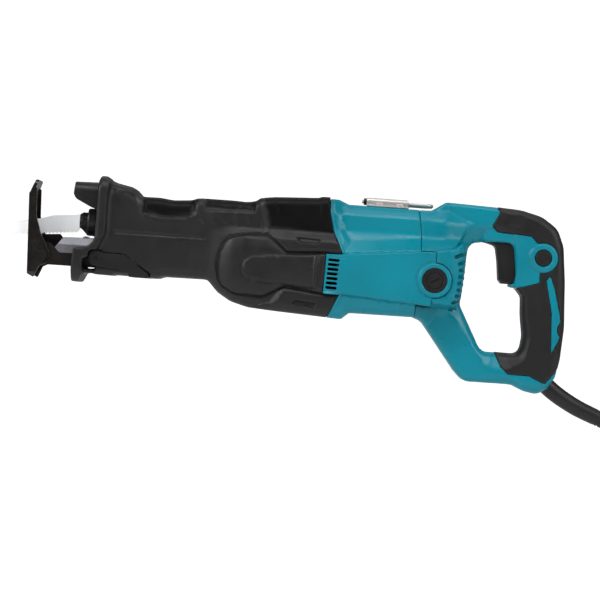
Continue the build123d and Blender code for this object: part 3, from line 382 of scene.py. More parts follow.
# Outlines of the darker, less glossy rubber: the front dip, the rear dip and the upper rear.
DARKER_RUBBER_ZONES = [
    [(34, 60), (34, 8.5, 5), (49, 5.5, 8), (69, 6, 8), (79, 12, 4), (79, 60)],
    [(85, 60), (86, 17, 3), (130, 17), (126, 60)],
    [(134, 60), (134.5, 26), (139, 17), (141, 4.6), (200, 2.0), (200, 60)],
]
DOME_RISE = 3.6
PLATEAU_RISE = 1.1
BAND_RISE = 1.1
BOOT_COLLAR_RISE = 2.3
WINDOW_DEPTH = 1.9
FLANGE_HALF = 36.0
LIP_HALF = 24.0
MOUTH_HALF = 27.0  # opening in front of the clamp
CHANNEL_HALF = 19.0  # room for the stay
HOOD_HALF = 21.3  # slot that takes the hood
LEVER_INNER = 26.2  # the lever's arms lie outside this half width
GUARD_LIP = [(-14.0, -39.7), (-12.5, -43.4), (12.0, -43.8), (12.0, -39.7)]
LEVER_CUT = [
    (-8.4, -80), (-8.4, -23.7, 7), (1.2, -23.7, 2), (5.2, -25.4, 2), (21.9, -25.4, 3), (44.1, -41.1, 1),
    (44.1, -80),
]
BOOT_STATIONS = [
    (-4, [(40, 29.0), (5, 30.4), (-4, 30.8), (-13, 31.0), (-30, 30.6), (-46, 29.6)]),
    (26, [(40, 28.8), (5, 30.2), (-4, 30.4), (-13, 30.6), (-30, 30.4), (-46, 29.4)]),
    (36, [(40, 30.6), (5, 30.8), (-4, 30.4), (-13, 30.4), (-30, 30.2), (-46, 29.4)]),
    (74, [(40, 30.6), (5, 30.8), (-4, 30.6), (-13, 30.6), (-30, 30.6), (-46, 30.0)]),
    (92, [(40, 32.6), (5, 32.4), (-4, 32.6), (-13, 32.6), (-30, 32.8), (-50, 32.4)]),
    (101, [(40, 33.0), (4, 32.8), (-4, 35.0), (-13, 35.6), (-30, 35.8), (-54, 35.4)]),
    (111, [(40, 33.0), (4, 32.6), (-4, 37.6), (-13, 38.2), (-30, 38.4), (-58, 38.0)]),
    (121, [(40, 33.0), (3.5, 32.4), (-4, 38.9), (-13, 39.6), (-30, 39.8), (-61, 39.2)]),
    (132, [(40, 32.4), (3.4, 32.8), (-4.2, 38.6), (-13, 40.3), (-30, 40.3), (-63, 39.7)]),
    (210, [(40, 31.4), (3.4, 32.0), (-4.2, 38.8), (-13, 40.5), (-30, 40.5), (-67, 39.9)]),
]


def rear_limit(lat, shift=0.0):
    """Negative in front of the boot's rear edge."""
    edge = [(x + shift, z) for x, z in BOOT_REAR]
    return outline(lat, [(-90, 60), *edge, (-90, -90)])


def finger_dips(lat):
    """Relief of the two dips in the upper side; the rear one is scalloped for the fingers."""
    finger = ((lat.x + lat.z / 3 - 86.5) / FINGER_PITCH) % 1
    scallop = 4 * finger * (1 - finger)
    front = raised(outline(lat, FRONT_DIP), 5.5)
    rear = raised(outline(lat, REAR_DIP), 3.2)
    shelf = raised(outline(lat, DIP_SHELF), 2.5) * (1 - scallop)
    return 0.5 * shelf - FRONT_DIP_DEPTH * front - (REAR_DIP_DEPTH + FINGER_DEPTH * scallop) * rear


def crank_dome(lat):
    """Relief of the round dome over the crank, its flat top, the collars and the rear band."""
    dome = outline(lat, DOME)
    plateau = outline(lat, PLATEAU)
    off_dome = 1 - groove(dome, 2.0)
    relief = DOME_RISE * domed(dome, 15.0) - 1.1 * groove(dome, 0.8)
    relief += PLATEAU_RISE * chamfered(plateau, 1.6) - 0.35 * groove(plateau, 0.5)
    for collar in (UPPER_COLLAR, LOWER_COLLAR):
        distance = outline(lat, collar)
        relief += BOOT_COLLAR_RISE * chamfered(distance, 4.2) - 0.5 * groove(distance, 0.5) * off_dome
    return relief + BAND_RISE * chamfered(outline(lat, REAR_BAND), 0.8) * raised(dome, 1.0)


def boot_marks(lat):
    """Relief of the sunk windows and the scribed lines."""
    relief = -0.7 * groove(line(lat, NOSE_LINE), 0.6)
    for scribed in REAR_LINES:
        relief -= 0.5 * groove(line(lat, scribed), 0.5)
    for window in WINDOWS:
        relief -= WINDOW_DEPTH * chamfered(outline(lat, window), 0.9)
    return relief


def boot_widths(lat):
    """Half widths of the rubber boot."""
    half = half_widths(lat, BOOT_STATIONS, soften=1.6)
    half += NOSE_PAD_RISE * raised(outline(lat, NOSE_PAD), 2.6)
    return half + finger_dips(lat) + crank_dome(lat) + boot_marks(lat)


def nose_skin(lat, edge, half):
    """Outer form: the cover, the finger flange and the lip under the stay."""
    rim = np.where(lat.z > -12, 12.0, 11.0) - 3.0 * raised(24 - lat.x, 20)
    cover = np.maximum(side_solid(lat, edge, half, rim), -2.0 - lat.x)
    flange = side_solid(lat, outline(lat, FLANGE_EDGE), FLANGE_HALF, 1.6)
    flange = meet(flange, front_arch(lat, FLANGE_HALF, -52.0, 38.6, 15.0), 1.2)
    lip = side_solid(lat, outline(lat, GUARD_LIP), LIP_HALF, 1.0)
    return join(join(cover, flange, 7.0), lip, 3.0)


def nose_openings(lat, edge, half):
    """The hollow, the clamp's mouth, the stay's channel, the hood's gap and the lever's cuts."""
    inner = narrowed(half, 2.0, lat) - SHELL_WALL
    hollow = np.maximum(side_solid(lat, edge + 4, inner, 9.0), -4.5 - lat.x)
    mouth = box_field(lat, (-60, -2.9), (-1, MOUTH_HALF), (-13, 27.0))
    channel = box_field(lat, (-60, 0.5), (-1, CHANNEL_HALF), (-39.7, 30.0))
    hood_gap = np.maximum(front_arch(lat, HOOD_HALF, -8.0, 33.7, 11.3), lat.x - 3.0)
    lever_sides = np.maximum(outline(lat, LEVER_CUT), LEVER_INNER - np.abs(lat.y))
    lever_bar = box_field(lat, (26.4, 44.1), (-1, 60), (-60, -40.1))
    return hollow, mouth, channel, hood_gap, lever_sides, lever_bar


def nose_boot():
    """Rubber cover over the gear case, with the finger flange and the lower guard."""
    lat = Lattice((-26, -47, -72), (208, 47, 42))
    edge = outline(lat, NOSE_EDGE)
    half = boot_widths(lat)
    skin = cut(nose_skin(lat, edge, half), *nose_openings(lat, edge, half))
    boot = field_mesh("nose_boot", lat, np.maximum(skin, rear_limit(lat)))
    paint_darker_rubber(boot, DARKER_RUBBER_ZONES)
    stand_for(boot, "tool", "rubber", "nose_boot")


# ---------------------------------------------------------------- motor housing
MOTOR_EDGE = [
    (180, 32.2), (197.7, 32.4, 1.5), (205.9, 28.9, 1.5), (310, 28.3), (310, -61.6), (212, -61.9, 2),
    (205.6, -67.5, 1.5), (193, -66.9), (180, -66),
]
MOTOR_SEAM = [
    (150, 70), (265, 70), (265.1, 27.4), (268, 6.7), (268, -6.5), (281, -6.5), (281, MOTOR_Z),
    (279, -51.8), (266.2, -50.9), (265.6, -90), (150, -90),
]
PANEL = [
    (185, -12.9), (204.3, -13.1), (268.4, -6.6), (300, -3.8), (312, 0), (312, -54), (266.2, -51.2),
    (203.2, -47.0), (185, -45.6),
]
COLLAR = [
    (170, 50), (198.2, 50), (198.4, 31, 4), (203.4, 9, 5), (209.6, -1.4, 3), (204.5, -13),
    (204.5, -45.5), (207.5, -60), (207.5, -90), (170, -90),
]
MOTOR_STATIONS = [
    (187, [(33, 22.0), (20.5, 29.4), (8, 30.4), (-1, 33.8),
           (-13.0, MOTOR_HALF), (-46, MOTOR_HALF), (-69, 36.0)]),
    (206, [(29, 20.0), (19.2, 27.6), (7.2, 28.2), (-1.0, 33.0),
           (-12.8, MOTOR_HALF), (-46, MOTOR_HALF), (-66, 37.0)]),
    (268, [(29, 20.0), (19.6, 27.6), (7.2, 28.2), (4.2, 30.0),
           (-6.6, MOTOR_HALF), (-51, MOTOR_HALF), (-64, 36.0)]),
    (310, [(29, 20.0), (19.6, 27.6), (7.2, 28.2), (4.2, 30.0),
           (-6.6, MOTOR_HALF), (-51, MOTOR_HALF), (-64, 36.0)]),
]
COLLAR_RISE = 2.6
PANEL_RISE = 1.0
BOSS_RISE = 1.3
SIDE_VENTS = 7


def motor_widths(lat):
    """Half widths of the motor housing, which the handle's front end carries on."""
    half = half_widths(lat, MOTOR_STATIONS)
    panel = outline(lat, PANEL)
    on_panel = chamfered(panel, 0.8)
    half += COLLAR_RISE * chamfered(outline(lat, COLLAR), 4.6) * (1 - on_panel)
    half += PANEL_RISE * on_panel - 0.9 * groove(panel, 0.6)
    half -= 0.5 * groove(rear_limit(lat) - 2.8, 0.4)
    boss = circle(lat, BRUSH, BOSS_R)
    half += BOSS_RISE * chamfered(boss, 1.2) - 0.6 * groove(boss - 0.6, 0.45)
    return half


def seam_limit(lat, grow=0.0):
    """Negative on the motor housing's side of its seam with the handle."""
    return np.minimum(outline(lat, MOTOR_SEAM), circle(lat, BRUSH, BOSS_R)) - grow


def under_boot(lat, edge, half):
    """Sleeve that runs on under the boot's rear edge."""
    outer = side_solid(lat, edge + 5.2, half - 5.4, 4.0)
    inner = side_solid(lat, edge + 7.2, half - 7.4, 3.0)
    return np.maximum(cut(outer, inner), np.abs(lat.x - 200.0) - 13.0)


def under_seam(lat, edge, half):
    """Lip behind the seam with the handle, so that the seam stays closed."""
    seam = seam_limit(lat)
    wall = narrowed(np.minimum(half, handle_widths(lat)), 3.0, lat) - np.where(seam < 0, 2.4, 3.4)
    lip = cut(side_solid(lat, edge + 3.8, wall, 3.0), side_solid(lat, edge + 5.6, wall - 1.8, 3.0))
    return np.maximum(lip, np.maximum(np.abs(seam) - 3.5, 255.0 - lat.x))


def brush_stub(lat):
    """Solid stub behind the boss on each side."""
    side = np.abs(lat.y)
    return np.maximum(circle(lat, BRUSH, BOSS_R - 0.4), np.maximum(38.0 - side, side - 44.0))


def brush_hole(lat):
    """Hole for the brush holder, wider where the cap sits."""
    pocket = np.maximum(circle(lat, BRUSH, 10.5), 41.2 - np.abs(lat.y))
    return np.minimum(pocket, circle(lat, BRUSH, 7.7))


def side_vents(lat):
    """Level slots, one above the other, behind the boot's rear edge."""
    half_length = 4.5
    half_height = 1.12
    slots = []
    for i in range(SIDE_VENTS):
        x = 196.4 - i * 0.16
        z = -18.9 - i * 3.85
        tilt = (lat.x - x) * 0.03
        slots.append(np.maximum(np.abs(lat.x - x) - half_length, np.abs(lat.z - z + tilt) - half_height))
    return np.maximum(np.minimum.reduce(slots), 30.0 - np.abs(lat.y))


def motor_housing():
    """Barrel round the motor with side panels, vents and brush bosses."""
    lat = Lattice((185, -48, -71), (299, 48, 36))
    edge = outline(lat, MOTOR_EDGE)
    half = motor_widths(lat)
    skin = side_solid(lat, edge, half, np.where(lat.z > -12, 2.4, 5.0))
    skin = cut(skin, side_solid(lat, edge + 3, narrowed(half, 3.0, lat) - SHELL_WALL, 3.0))
    skin = meet(skin, seam_limit(lat), SEAM_ROUND)
    skin = meet(skin, -rear_limit(lat, 0.25), SEAM_ROUND)
    for inner in (under_boot(lat, edge, half), under_seam(lat, edge, half), brush_stub(lat)):
        skin = np.minimum(skin, inner)
    skin = cut(skin, brush_hole(lat), side_vents(lat))
    stand_for(field_mesh("motor_housing", lat, skin), "tool", "teal_plastic", "motor_housing")


# ---------------------------------------------------------------- handle
HANDLE_EDGE = [
    (240, 28.3), (275.2, 28.5, 5), (287.6, 36.7, 5), (330.2, 35.3, 60), (350.7, 34.2, 30),
    (368.6, 29.8, 24), (382.4, 20.6, 16), (388.4, 6, 24), (391.4, -22, 60), (393.5, -62, 60),
    (391.8, -88, 30), (389.2, -104, 10), (382.6, -114.6, 8), (374, -119.2, 8), (363.5, -117.4, 10),
    (352, -112.4, 14), (312, -112.4, 12), (304, -104.5, 8), (273.6, -64.6, 6), (266, -61.7, 5),
    (240, -61.7),
]
HANDLE_HOLE = [
    (307.0, -22, 20), (308.4, 4.5, 12), (328, 6.1, 3), (346.5, 6.1, 7), (348.6, -10, 10),
    (349.8, -20, 8), (348.4, -27.8, 1), (345.2, -28.2, 0.8), (345.6, -30.8, 1.2), (351.5, -31.2, 4),
    (357, -38, 7), (357.4, -52, 30), (360.2, -71, 16), (358.2, -86.8, 9), (325, -86.3, 10),
    (305, -48.4, 6),
]
TAIL_CREASE = [
    (230, 60), (230, -8), (268.4, -6.6), (277.4, -5.6), (296.2, -2.7, 3), (301.5, 1.5, 5),
    (308.2, 12.4, 6), (315.5, 18.3, 6), (336, 20.2), (336, 60),
]
TAIL_BULGE = [
    (230, 8), (300, 8, 6), (309.5, 2, 4), (309.5, -30, 20), (307, -44, 8), (299.5, -54.2, 5),
    (276, -53.4), (230, -52),
]
GRIP_EDGE = [
    (330.4, 60), (331.0, 34.5, 1), (333.4, 31, 1.5), (327.6, 19.6, 1.5), (332.1, 14.5, 2),
    (361.0, 13.0, 3), (366.2, 7.4, 1), (370.2, 7.4, 1), (370.2, -25.9, 1.5), (352.4, -31.2),
    (340, -31.2), (330, -86.3), (336.8, -86.3), (342.5, -98.3, 3), (348.7, -103.8, 3),
    (366.2, -104, 4), (380, -110, 2), (391.9, -95.3, 2), (410, -95.3), (410, 60),
]
STRIPE = [
    (378.9, -18.6, 1.5), (375.5, -23.4, 1), (381.6, -49.2, 60), (383.6, -85.4, 1), (390.6, -70.1, 0.8),
    (387.8, -66.0), (387.8, -61.5), (390.4, -56.7, 0.8), (383.6, -30.6, 60),
]
HANDLE_CREASE = [
    (260, -8), (296.2, -2.7, 4), (301.5, 1.5, 6), (308.2, 12.4, 6), (315.5, 18.3, 6), (333, 20.2, 4),
    (346, 15, 8), (350, 4, 6), (350, -29, 3), (357, -32, 6), (361, -52, 30), (366, -72, 14),
    (363, -92, 12), (350, -100, 10), (333.9, -100.3, 4), (329.5, -98.4, 3), (322.4, -88.5),
    (301.9, -60.7, 5), (295.8, -56.3, 4), (260, -55),
]
GRIP_PAD = [(334.5, 30.4, 1), (334.5, 20.6, 1), (352.5, 20.4, 1), (352.5, 29.0, 1)]
TRIGGER_WAY = [(318, 4.8), (326, 8.0), (362, 8.0), (362, -28.4), (330, -28.4), (318, -10)]
STRUT_FOOT = [(230, -48), (296, -48), (300, -56, 3), (275, -90), (230, -90)]
LOCK_RING_R = 12.4
LOCK_RING_HALF = 2.9  # half the width of the ring round the lock button
LOCK_RING_RISE = 1.5
LOCK_SINK = 1.2
HANDLE_HALF = 16.5
HANDLE_WALL = 3.0
TRIGGER_HALF = 11.4
LOCK_WAY_R = 7.2
CORD_WAY_R = 7.8
WELL_R = 3.9
GRIP_PROUD = 0.45  # the grips stand this far out of the shells
REAR_VENTS = 9
HANDLE_SCREWS = [
    (290.5, 24.0), (350.0, 24.5), (381.0, -42.0), (380.5, -86.5), (322.0, -101.0), (297.0, -73.0),
]


def bar_widths(lat):
    """Half widths of the D itself, sloping down to its crease; less so beside the trigger."""
    slope = np.maximum(-outline(lat, HANDLE_CREASE), 0)
    by_trigger = raised(316 - lat.x, 8) * raised(-37 - lat.z, 3)
    return HANDLE_HALF - np.minimum(0.55 * slope, 6.5 - 4.9 * by_trigger)


def upper_tail(lat, bar, crease):
    """Half widths where the motor housing's upper form runs out over the handle."""
    shrink = np.interp(lat.x, [240, 270, 288, 306, 326, 420], [0, 0, 2.5, 9.0, 12.6, 13.0])
    upper = np.maximum(motor_widths(lat) - shrink, 16.4)
    return bar + (upper - bar) * coved(crease, np.interp(lat.x, [296, 305], [0.1, 3.4]))


def wide_front(lat, bar, crease):
    """Half widths of the wide front end, which carries the side panel on."""
    halves = [MOTOR_HALF, MOTOR_HALF, 41.6, 38.6, 33.5, 27.0]
    wide = np.interp(lat.x, [240, 283, 292, 300, 306, 312], halves)
    wide = wide + PANEL_RISE * chamfered(outline(lat, PANEL), 0.8) * raised(lat.x - 291, 8)
    bulge = raised(outline(lat, TAIL_BULGE), 5.0) * chamfered(-crease - 0.6, 0.5)
    return bar + (wide - bar) * bulge


def strut_foot(lat, bar):
    """Half widths where the lower strut spreads out to meet the motor housing."""
    foot = np.interp(lat.x, [240, 268, 286, 300], [37.0, 34.0, 18.5, 16.5])
    foot = foot - 0.6 * np.clip(-54 - lat.z, 0, 20)
    return bar + np.maximum(foot - bar, 0) * raised(outline(lat, STRUT_FOOT), 3.0)


def handle_widths(lat):
    """Half widths of the D handle and of its wide front end."""
    bar = bar_widths(lat)
    crease = outline(lat, TAIL_CREASE)
    half = np.maximum(upper_tail(lat, bar, crease), wide_front(lat, bar, crease))
    half -= 0.8 * groove(crease, 0.6) * raised(lat.x - 304, 6)
    half = np.maximum(half, strut_foot(lat, bar))
    half -= 0.6 * groove(circle(lat, BRUSH, BOSS_R) - 0.6, 0.45)
    half -= 0.4 * chamfered(outline(lat, GRIP_PAD), 0.6)
    return blurred(half, 1)


def handle_edge(lat):
    """Signed distance to the handle's outline, with its opening for the hand."""
    return cut(outline(lat, HANDLE_EDGE), outline(lat, HANDLE_HOLE))


def handle_field(lat):
    """The whole handle, both halves, before it is split and cut."""
    ring = circle(lat, LOCK, LOCK_RING_R)
    over_ring = np.sqrt(np.clip(1 - (ring / LOCK_RING_HALF + 1) ** 2, 0, 1))
    ring_form = LOCK_RING_RISE * over_ring - LOCK_SINK * raised(ring + 5.2, 0.6)
    half = handle_widths(lat) + np.where(lat.y < 0, ring_form, 0)
    rim = np.interp(lat.x, [262, 330, 345, 400], [3.2, 5.0, 7.0, 7.5])
    by_hole = (outline(lat, HANDLE_HOLE) < 9) & (lat.x > 312)
    rim = np.where(by_hole, np.where(lat.z > -37, 2.4, 5.0), rim)
    return side_solid(lat, handle_edge(lat), half, rim)


def deep_inside(lat):
    """Room inside the handle, which is solid behind the vents."""
    half = narrowed(handle_widths(lat), 3.0, lat)
    room = side_solid(lat, handle_edge(lat) + 3.2, half - HANDLE_WALL, 3.0)
    behind_vents = box_field(lat, (293.0, 320.0), (-1.0, 60.0), (-58.0, -3.0))
    return cut(room, behind_vents)


def rear_vents(lat):
    """Slanted blind air inlets that run out at the rear edge of the wide front end."""
    lean = radians(24)
    half_length = 7.5
    half_height = 1.4
    known = [0, 1, 2, 5, 6, 7, 8]
    starts = np.interp(range(REAR_VENTS), known, [297.4, 300.7, 302.0, 301.2, 299.4, 297.2, 296.6])
    slots = []
    for i, x in enumerate(starts):
        z = -9.4 - 5.45 * i
        along = (lat.x - x) * cos(lean) + (lat.z - z) * sin(lean) - half_length
        across = (lat.z - z) * cos(lean) - (lat.x - x) * sin(lean)
        slots.append(np.hypot(np.maximum(np.abs(along) - half_length, 0), across) - half_height)
    floor = np.maximum(handle_widths(lat) - 16.0, 12.0)
    return np.maximum(np.minimum.reduce(slots), floor - np.abs(lat.y))


def handle_openings(lat):
    """Ways for the trigger, the lock button and the cord."""
    trigger_way = np.maximum(outline(lat, TRIGGER_WAY), np.abs(lat.y) - TRIGGER_HALF)
    lock_way = np.maximum(circle(lat, LOCK, LOCK_WAY_R), lat.y)
    cord_way = np.hypot(line(lat, CORD_PATH[:3]), lat.y) - CORD_WAY_R
    return trigger_way, lock_way, cord_way


def screw_wells(lat):
    """Round wells over the screws, which go in from the right."""
    wells = [circle(lat, place, WELL_R) for place in HANDLE_SCREWS]
    return np.maximum(np.minimum.reduce(wells), 10.5 - lat.y)


def handle_and_grips():
    """Left and right shells and their soft grips."""
    lat = Lattice((262, -47, -122), (397, 47, 40))
    body = handle_field(lat)
    wells = screw_wells(lat)
    zone = cut(outline(lat, GRIP_EDGE), outline(lat, STRIPE), circle(lat, LOCK, LOCK_RING_R + 0.2))
    bed = np.maximum(zone - 0.15, -(body + 1.6))
    shell = cut(body, bed, deep_inside(lat))
    shell = meet(shell, -seam_limit(lat, 0.3), SEAM_ROUND)
    shell = cut(shell, rear_vents(lat), wells, *handle_openings(lat))
    grip = meet(np.maximum(body - GRIP_PROUD, -(body + 1.5)), zone + 0.12, GRIP_PROUD)
    grip = cut(grip, wells)
    for side, sign in (("left", -1), ("right", 1)):
        limit = HALF_GAP - sign * lat.y
        for part, field, slot in (("handle", shell, "teal_plastic"), ("grip", grip, "rubber")):
            node = f"{part}_{side}"
            stand_for(field_mesh(node, lat, np.maximum(field, limit)), "tool", slot, node)


# ---------------------------------------------------------------- cord
CORD_PATH = [(374.0, -102.0), (384.0, -112.2), (404.0, -125.4), (430.0, -136.6), (462.0, -148.0)]
CORD_END = 24.0  # straight length past the last point
CORD_R = 4.15
CORE_OFFSET = 1.9
GUARD_RINGS = 76
GUARD_R = 7.5
GUARD_BORE = 4.35
RIBS = (0.72, 0.95)  # where the ribs start and end along the guard
TIP = 0.96  # where the tip starts to round off


def curve_point(t, a, b, leave, arrive):
    """Point at t on a smooth curve from a to b with these end slopes."""
    start = a * (2 * t**3 - 3 * t**2 + 1) + leave * (t**3 - 2 * t**2 + t)
    return start + b * (3 * t**2 - 2 * t**3) + arrive * (t**3 - t**2)


def cord_line(count):
    """Points, in mm, along the middle of the cable, following the CAD solid's own centre line."""
    path = np.array(CORD_PATH)
    reach = np.concatenate([[0], np.cumsum(np.linalg.norm(np.diff(path, axis=0), axis=1))])
    slope = np.gradient(path, reach, axis=0)
    points = []
    for s in np.linspace(0, reach[-1], count):
        k = min(np.searchsorted(reach, s, "right") - 1, len(path) - 2)
        h = reach[k + 1] - reach[k]
        points.append(curve_point((s - reach[k]) / h, path[k], path[k + 1], slope[k] * h, slope[k + 1] * h))
    last = (points[-1] - points[-2]) / np.linalg.norm(points[-1] - points[-2])
    straight = [points[-1] + last * d for d in np.linspace(CORD_END / 12, CORD_END, 12)]
    return np.array(points + straight)


def wall_points(points, radius, around):
    """Rings of points round a line in the x-z plane; radius(i, angle) in mm."""
    heading = np.gradient(points, axis=0)
    heading /= np.linalg.norm(heading, axis=1, keepdims=True)
    verts = []
    for i, (point, (hx, hz)) in enumerate(zip(points, heading)):
        for j in range(around):
            a = 2 * pi * j / around
            r = radius(i, a)
            verts.append((point[0] - hz * r * sin(a), r * cos(a), point[1] + hx * r * sin(a)))
    return verts


def wall_faces(rings, around, first=0):
    """Quads between neighbouring rings of points."""
    faces = []
    for low in range(first, first + (rings - 1) * around, around):
        for j in range(around):
            k = (j + 1) % around
            faces.append((low + j, low + k, low + around + k, low + around + j))
    return faces


def rim_faces(outer, inner, around):
    """Quads between an outer and an inner ring of points."""
    steps = [(j, (j + 1) % around) for j in range(around)]
    return [(outer + j, outer + k, inner + k, inner + j) for j, k in steps]


def tube(name, points, radius, around=40, bore=None):
    """Tube along points in the x-z plane; radius(i, angle) in mm. With a bore it is an open sleeve."""
    rings = len(points)
    last = (rings - 1) * around
    verts = wall_points(points, radius, around)
    faces = wall_faces(rings, around)
    if bore is None:
        faces.append(tuple(range(around - 1, -1, -1)))
        faces.append(tuple(range(last, last + around)))
    else:
        inner = len(verts)
        verts += wall_points(points, lambda i, a: bore, around)
        faces += [face[::-1] for face in wall_faces(rings, around, inner)]
        faces += rim_faces(0, inner, around)
        faces += [face[::-1] for face in rim_faces(last, inner + last, around)]
    mesh = bpy.data.meshes.new(name)
    mesh.from_pydata([tuple(c * MM for c in v) for v in verts], [], faces)
    mesh.validate()
    mesh.shade_smooth()
    mesh.set_sharp_from_angle(angle=radians(50))
    return placed(name, mesh)


def guard_radius(i, a):
    """Radius of the cord guard: it narrows, has ribs near its end and a rounded tip."""
    t = i / (GUARD_RINGS - 1)
    body = GUARD_R - 0.9 * t
    if RIBS[0] < t < RIBS[1]:
        body -= 0.8 * (0.5 + 0.5 * cos(2 * pi * (t - RIBS[0]) * 30)) ** 3
    return body - 1.6 * max(0, (t - TIP) / (1 - TIP)) ** 2


def cord_wires(points):
    """The two cores of the cable and their copper, standing out of its cut end."""
    heading = (points[-1] - points[-2]) / np.linalg.norm(points[-1] - points[-2])
    kinds = (("cord_core", "white_plastic", 1.35, 1.2), ("cord_copper", "copper", 0.8, 2.0))
    for name, slot, radius, reach in kinds:
        for letter, side in (("a", -1), ("b", 1)):
            short = np.array([points[-1] - heading * 0.5, points[-1] + heading * reach])
            wire = tube(f"{name}_{letter}", short, lambda i, a: radius, 20)
            wire.data.transform(Matrix.Translation((0, side * CORE_OFFSET * MM, 0)))
            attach(wire, "tool")
            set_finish(wire, slot)


def cord_pieces():
    """Rubber cable with its two cores showing at the cut, and the ribbed guard."""
    points = cord_line(90)
    cable = tube("power_cord", points, lambda i, a: CORD_R + 0.03 * sin(2 * a + i * 0.16))
    stand_for(cable, "tool", "cord_jacket", "power_cord")
    guard = tube("cord_guard", points[:GUARD_RINGS], guard_radius, 48, bore=GUARD_BORE)
    stand_for(guard, "tool", "rubber", "cord_guard")
    cord_wires(points)


# ---------------------------------------------------------------- materials
class Finish:
    """A material and short ways to add nodes to it. Patterns are set out in the object's own space."""

    def __init__(self, name):
        self.name = name
        self.material = bpy.data.materials.new(name)
        self.material.use_nodes = True
        self.tree = self.material.node_tree
        self.shader = self.tree.nodes["Principled BSDF"]
        self.place = self.tree.nodes.new("ShaderNodeTexCoord").outputs["Object"]

    def plug(self, socket, value):
        """Links a socket to another node's output, or sets its value."""
        if isinstance(value, bpy.types.NodeSocket):
            self.tree.links.new(value, socket)
        elif socket.type == "RGBA":
            socket.default_value = (*value, 1)
        else:
            socket.default_value = value

    def node(self, kind, **inputs):
        """New shader node with these inputs."""
        made = self.tree.nodes.new("ShaderNode" + kind)
        for key, value in inputs.items():
            self.plug(made.inputs[key.replace("_", " ")], value)
        return made

    def noise(self, size_mm, detail=3.0, stretch=(1, 1, 1), rough=0.55):
        """Noise with patches of about this size."""
        mapping = self.node("Mapping", Vector=self.place, Scale=stretch)
        made = self.node("TexNoise", Vector=mapping.outputs[0], Scale=1000 / size_mm, Detail=detail,
                         Roughness=rough)
        return made.outputs["Fac"]

    def span(self, value, low, high, to_low, to_high):
        """The value's range from low to high stretched to another range."""
        made = self.node("MapRange", Value=value, From_Min=low, From_Max=high, To_Min=to_low,
                         To_Max=to_high)
        return made.outputs[0]

    def mix(self, factor, a, b):
        """Colour between a and b."""
        made = self.tree.nodes.new("ShaderNodeMix")
        made.data_type = "RGBA"
        for index, value in ((0, factor), (6, a), (7, b)):
            self.plug(made.inputs[index], value)
        return made.outputs[2]

    def product(self, a, b):
        """One value times another."""
        made = self.node("Math")
        made.operation = "MULTIPLY"
        self.plug(made.inputs[0], a)
        self.plug(made.inputs[1], b)
        return made.outputs[0]

    def soft_edge(self, radius_mm, samples=6):
        """Normals as if the edges were rounded by this radius."""
        bevel = self.node("Bevel", Radius=radius_mm * MM)
        bevel.samples = samples
        return bevel.outputs[0]

    def edge(self, radius_mm):
        """Nearly 1 at convex edges, 0 elsewhere."""
        dot = self.tree.nodes.new("ShaderNodeVectorMath")
        dot.operation = "DOT_PRODUCT"
        self.plug(dot.inputs[0], self.soft_edge(radius_mm, 4))
        self.plug(dot.inputs[1], self.node("NewGeometry").outputs["Normal"])
        return self.span(dot.outputs["Value"], 0.97, 0.75, 0.0, 1.0)

    def bump(self, height, depth_mm, normal=None):
        """Normals that follow a height pattern."""
        made = self.node("Bump", Height=height, Strength=1.0, Distance=depth_mm * MM)
        if normal is not None:
            self.plug(made.inputs["Normal"], normal)
        return made.outputs[0]

    def set(self, **inputs):
        """Inputs of the surface shader."""
        for key, value in inputs.items():
            self.plug(self.shader.inputs[key.replace("_", " ")], value)


def scaled(colour, factor):
    """The colour made lighter or darker."""
    return tuple(min(c * factor, 1.0) for c in colour)


def moulded(name, colour, rough, grain_mm, depth_mm, gloss=0.5, spread=0.08, worn=None, bevel=None,
            smooth=None):
    """Plastic or rubber: faint colour drift, fine grain, handling marks and rubbed edges."""
    f = Finish(name)
    darker = scaled(colour, 1 - spread)
    drift = f.span(f.noise(38, 4.0), 0.3, 0.7, 0.0, 1.0)
    base = f.mix(drift, darker, scaled(colour, 1 + spread))
    specks = f.span(f.noise(1.3, 2.0), 0.35, 0.7, 0.0, 1.0)
    base = f.mix(f.span(specks, 0, 1, 0.0, 0.35), base, darker)
    if worn:
        rub = f.span(f.noise(7, 4.0), 0.45, 0.7, 0.0, 0.4)
        base = f.mix(f.product(f.edge(0.9), rub), base, worn)
    # Inside the marked zones the rubber is darker and less glossy; its grain stays the same.
    if smooth:
        painted = f.node("Attribute")
        painted.attribute_name = "smooth_rubber"
        amount = painted.outputs["Fac"]
        base = f.mix(amount, base, smooth)
        gloss = f.span(amount, 0, 1, gloss, gloss * 0.35)
    marks = f.span(f.noise(14, 5.0, rough=0.7), 0.35, 0.7, rough - 0.06, rough + 0.09)
    normal = f.bump(f.noise(grain_mm, 2.0), depth_mm, f.soft_edge(bevel) if bevel else None)
    f.set(Base_Color=base, Roughness=marks, Normal=normal, Specular_IOR_Level=gloss)
    return f


def metal(name, colour, rough, stretch=(1, 1, 1), lines_mm=0.6, depth_mm=0.01, dark=0.75, bevel=0.25,
          stain=None, shine=1.0):
    """Bare or plated metal: brushed or cast grain, tone drift and brighter rubbed edges."""
    f = Finish(name)
    drift = f.span(f.noise(16, 4.0), 0.3, 0.7, 0.0, 1.0)
    base = f.mix(drift, scaled(colour, dark), colour)
    if stain:
        base = f.mix(f.span(f.noise(5, 5.0, rough=0.7), 0.55, 0.75, 0.0, 0.7), base, stain)
    rubbed = tuple(min(1.0, c * 1.25 + 0.04) for c in colour)
    base = f.mix(f.span(f.edge(0.35), 0, 1, 0.0, 0.5), base, rubbed)
    grain = f.noise(lines_mm, 3.0, stretch)
    dull = f.span(grain, 0.3, 0.7, rough - 0.07, rough + 0.1)
    normal = f.bump(grain, depth_mm, f.soft_edge(bevel))
    f.set(Base_Color=base, Metallic=shine, Roughness=dull, Normal=normal)
    return f


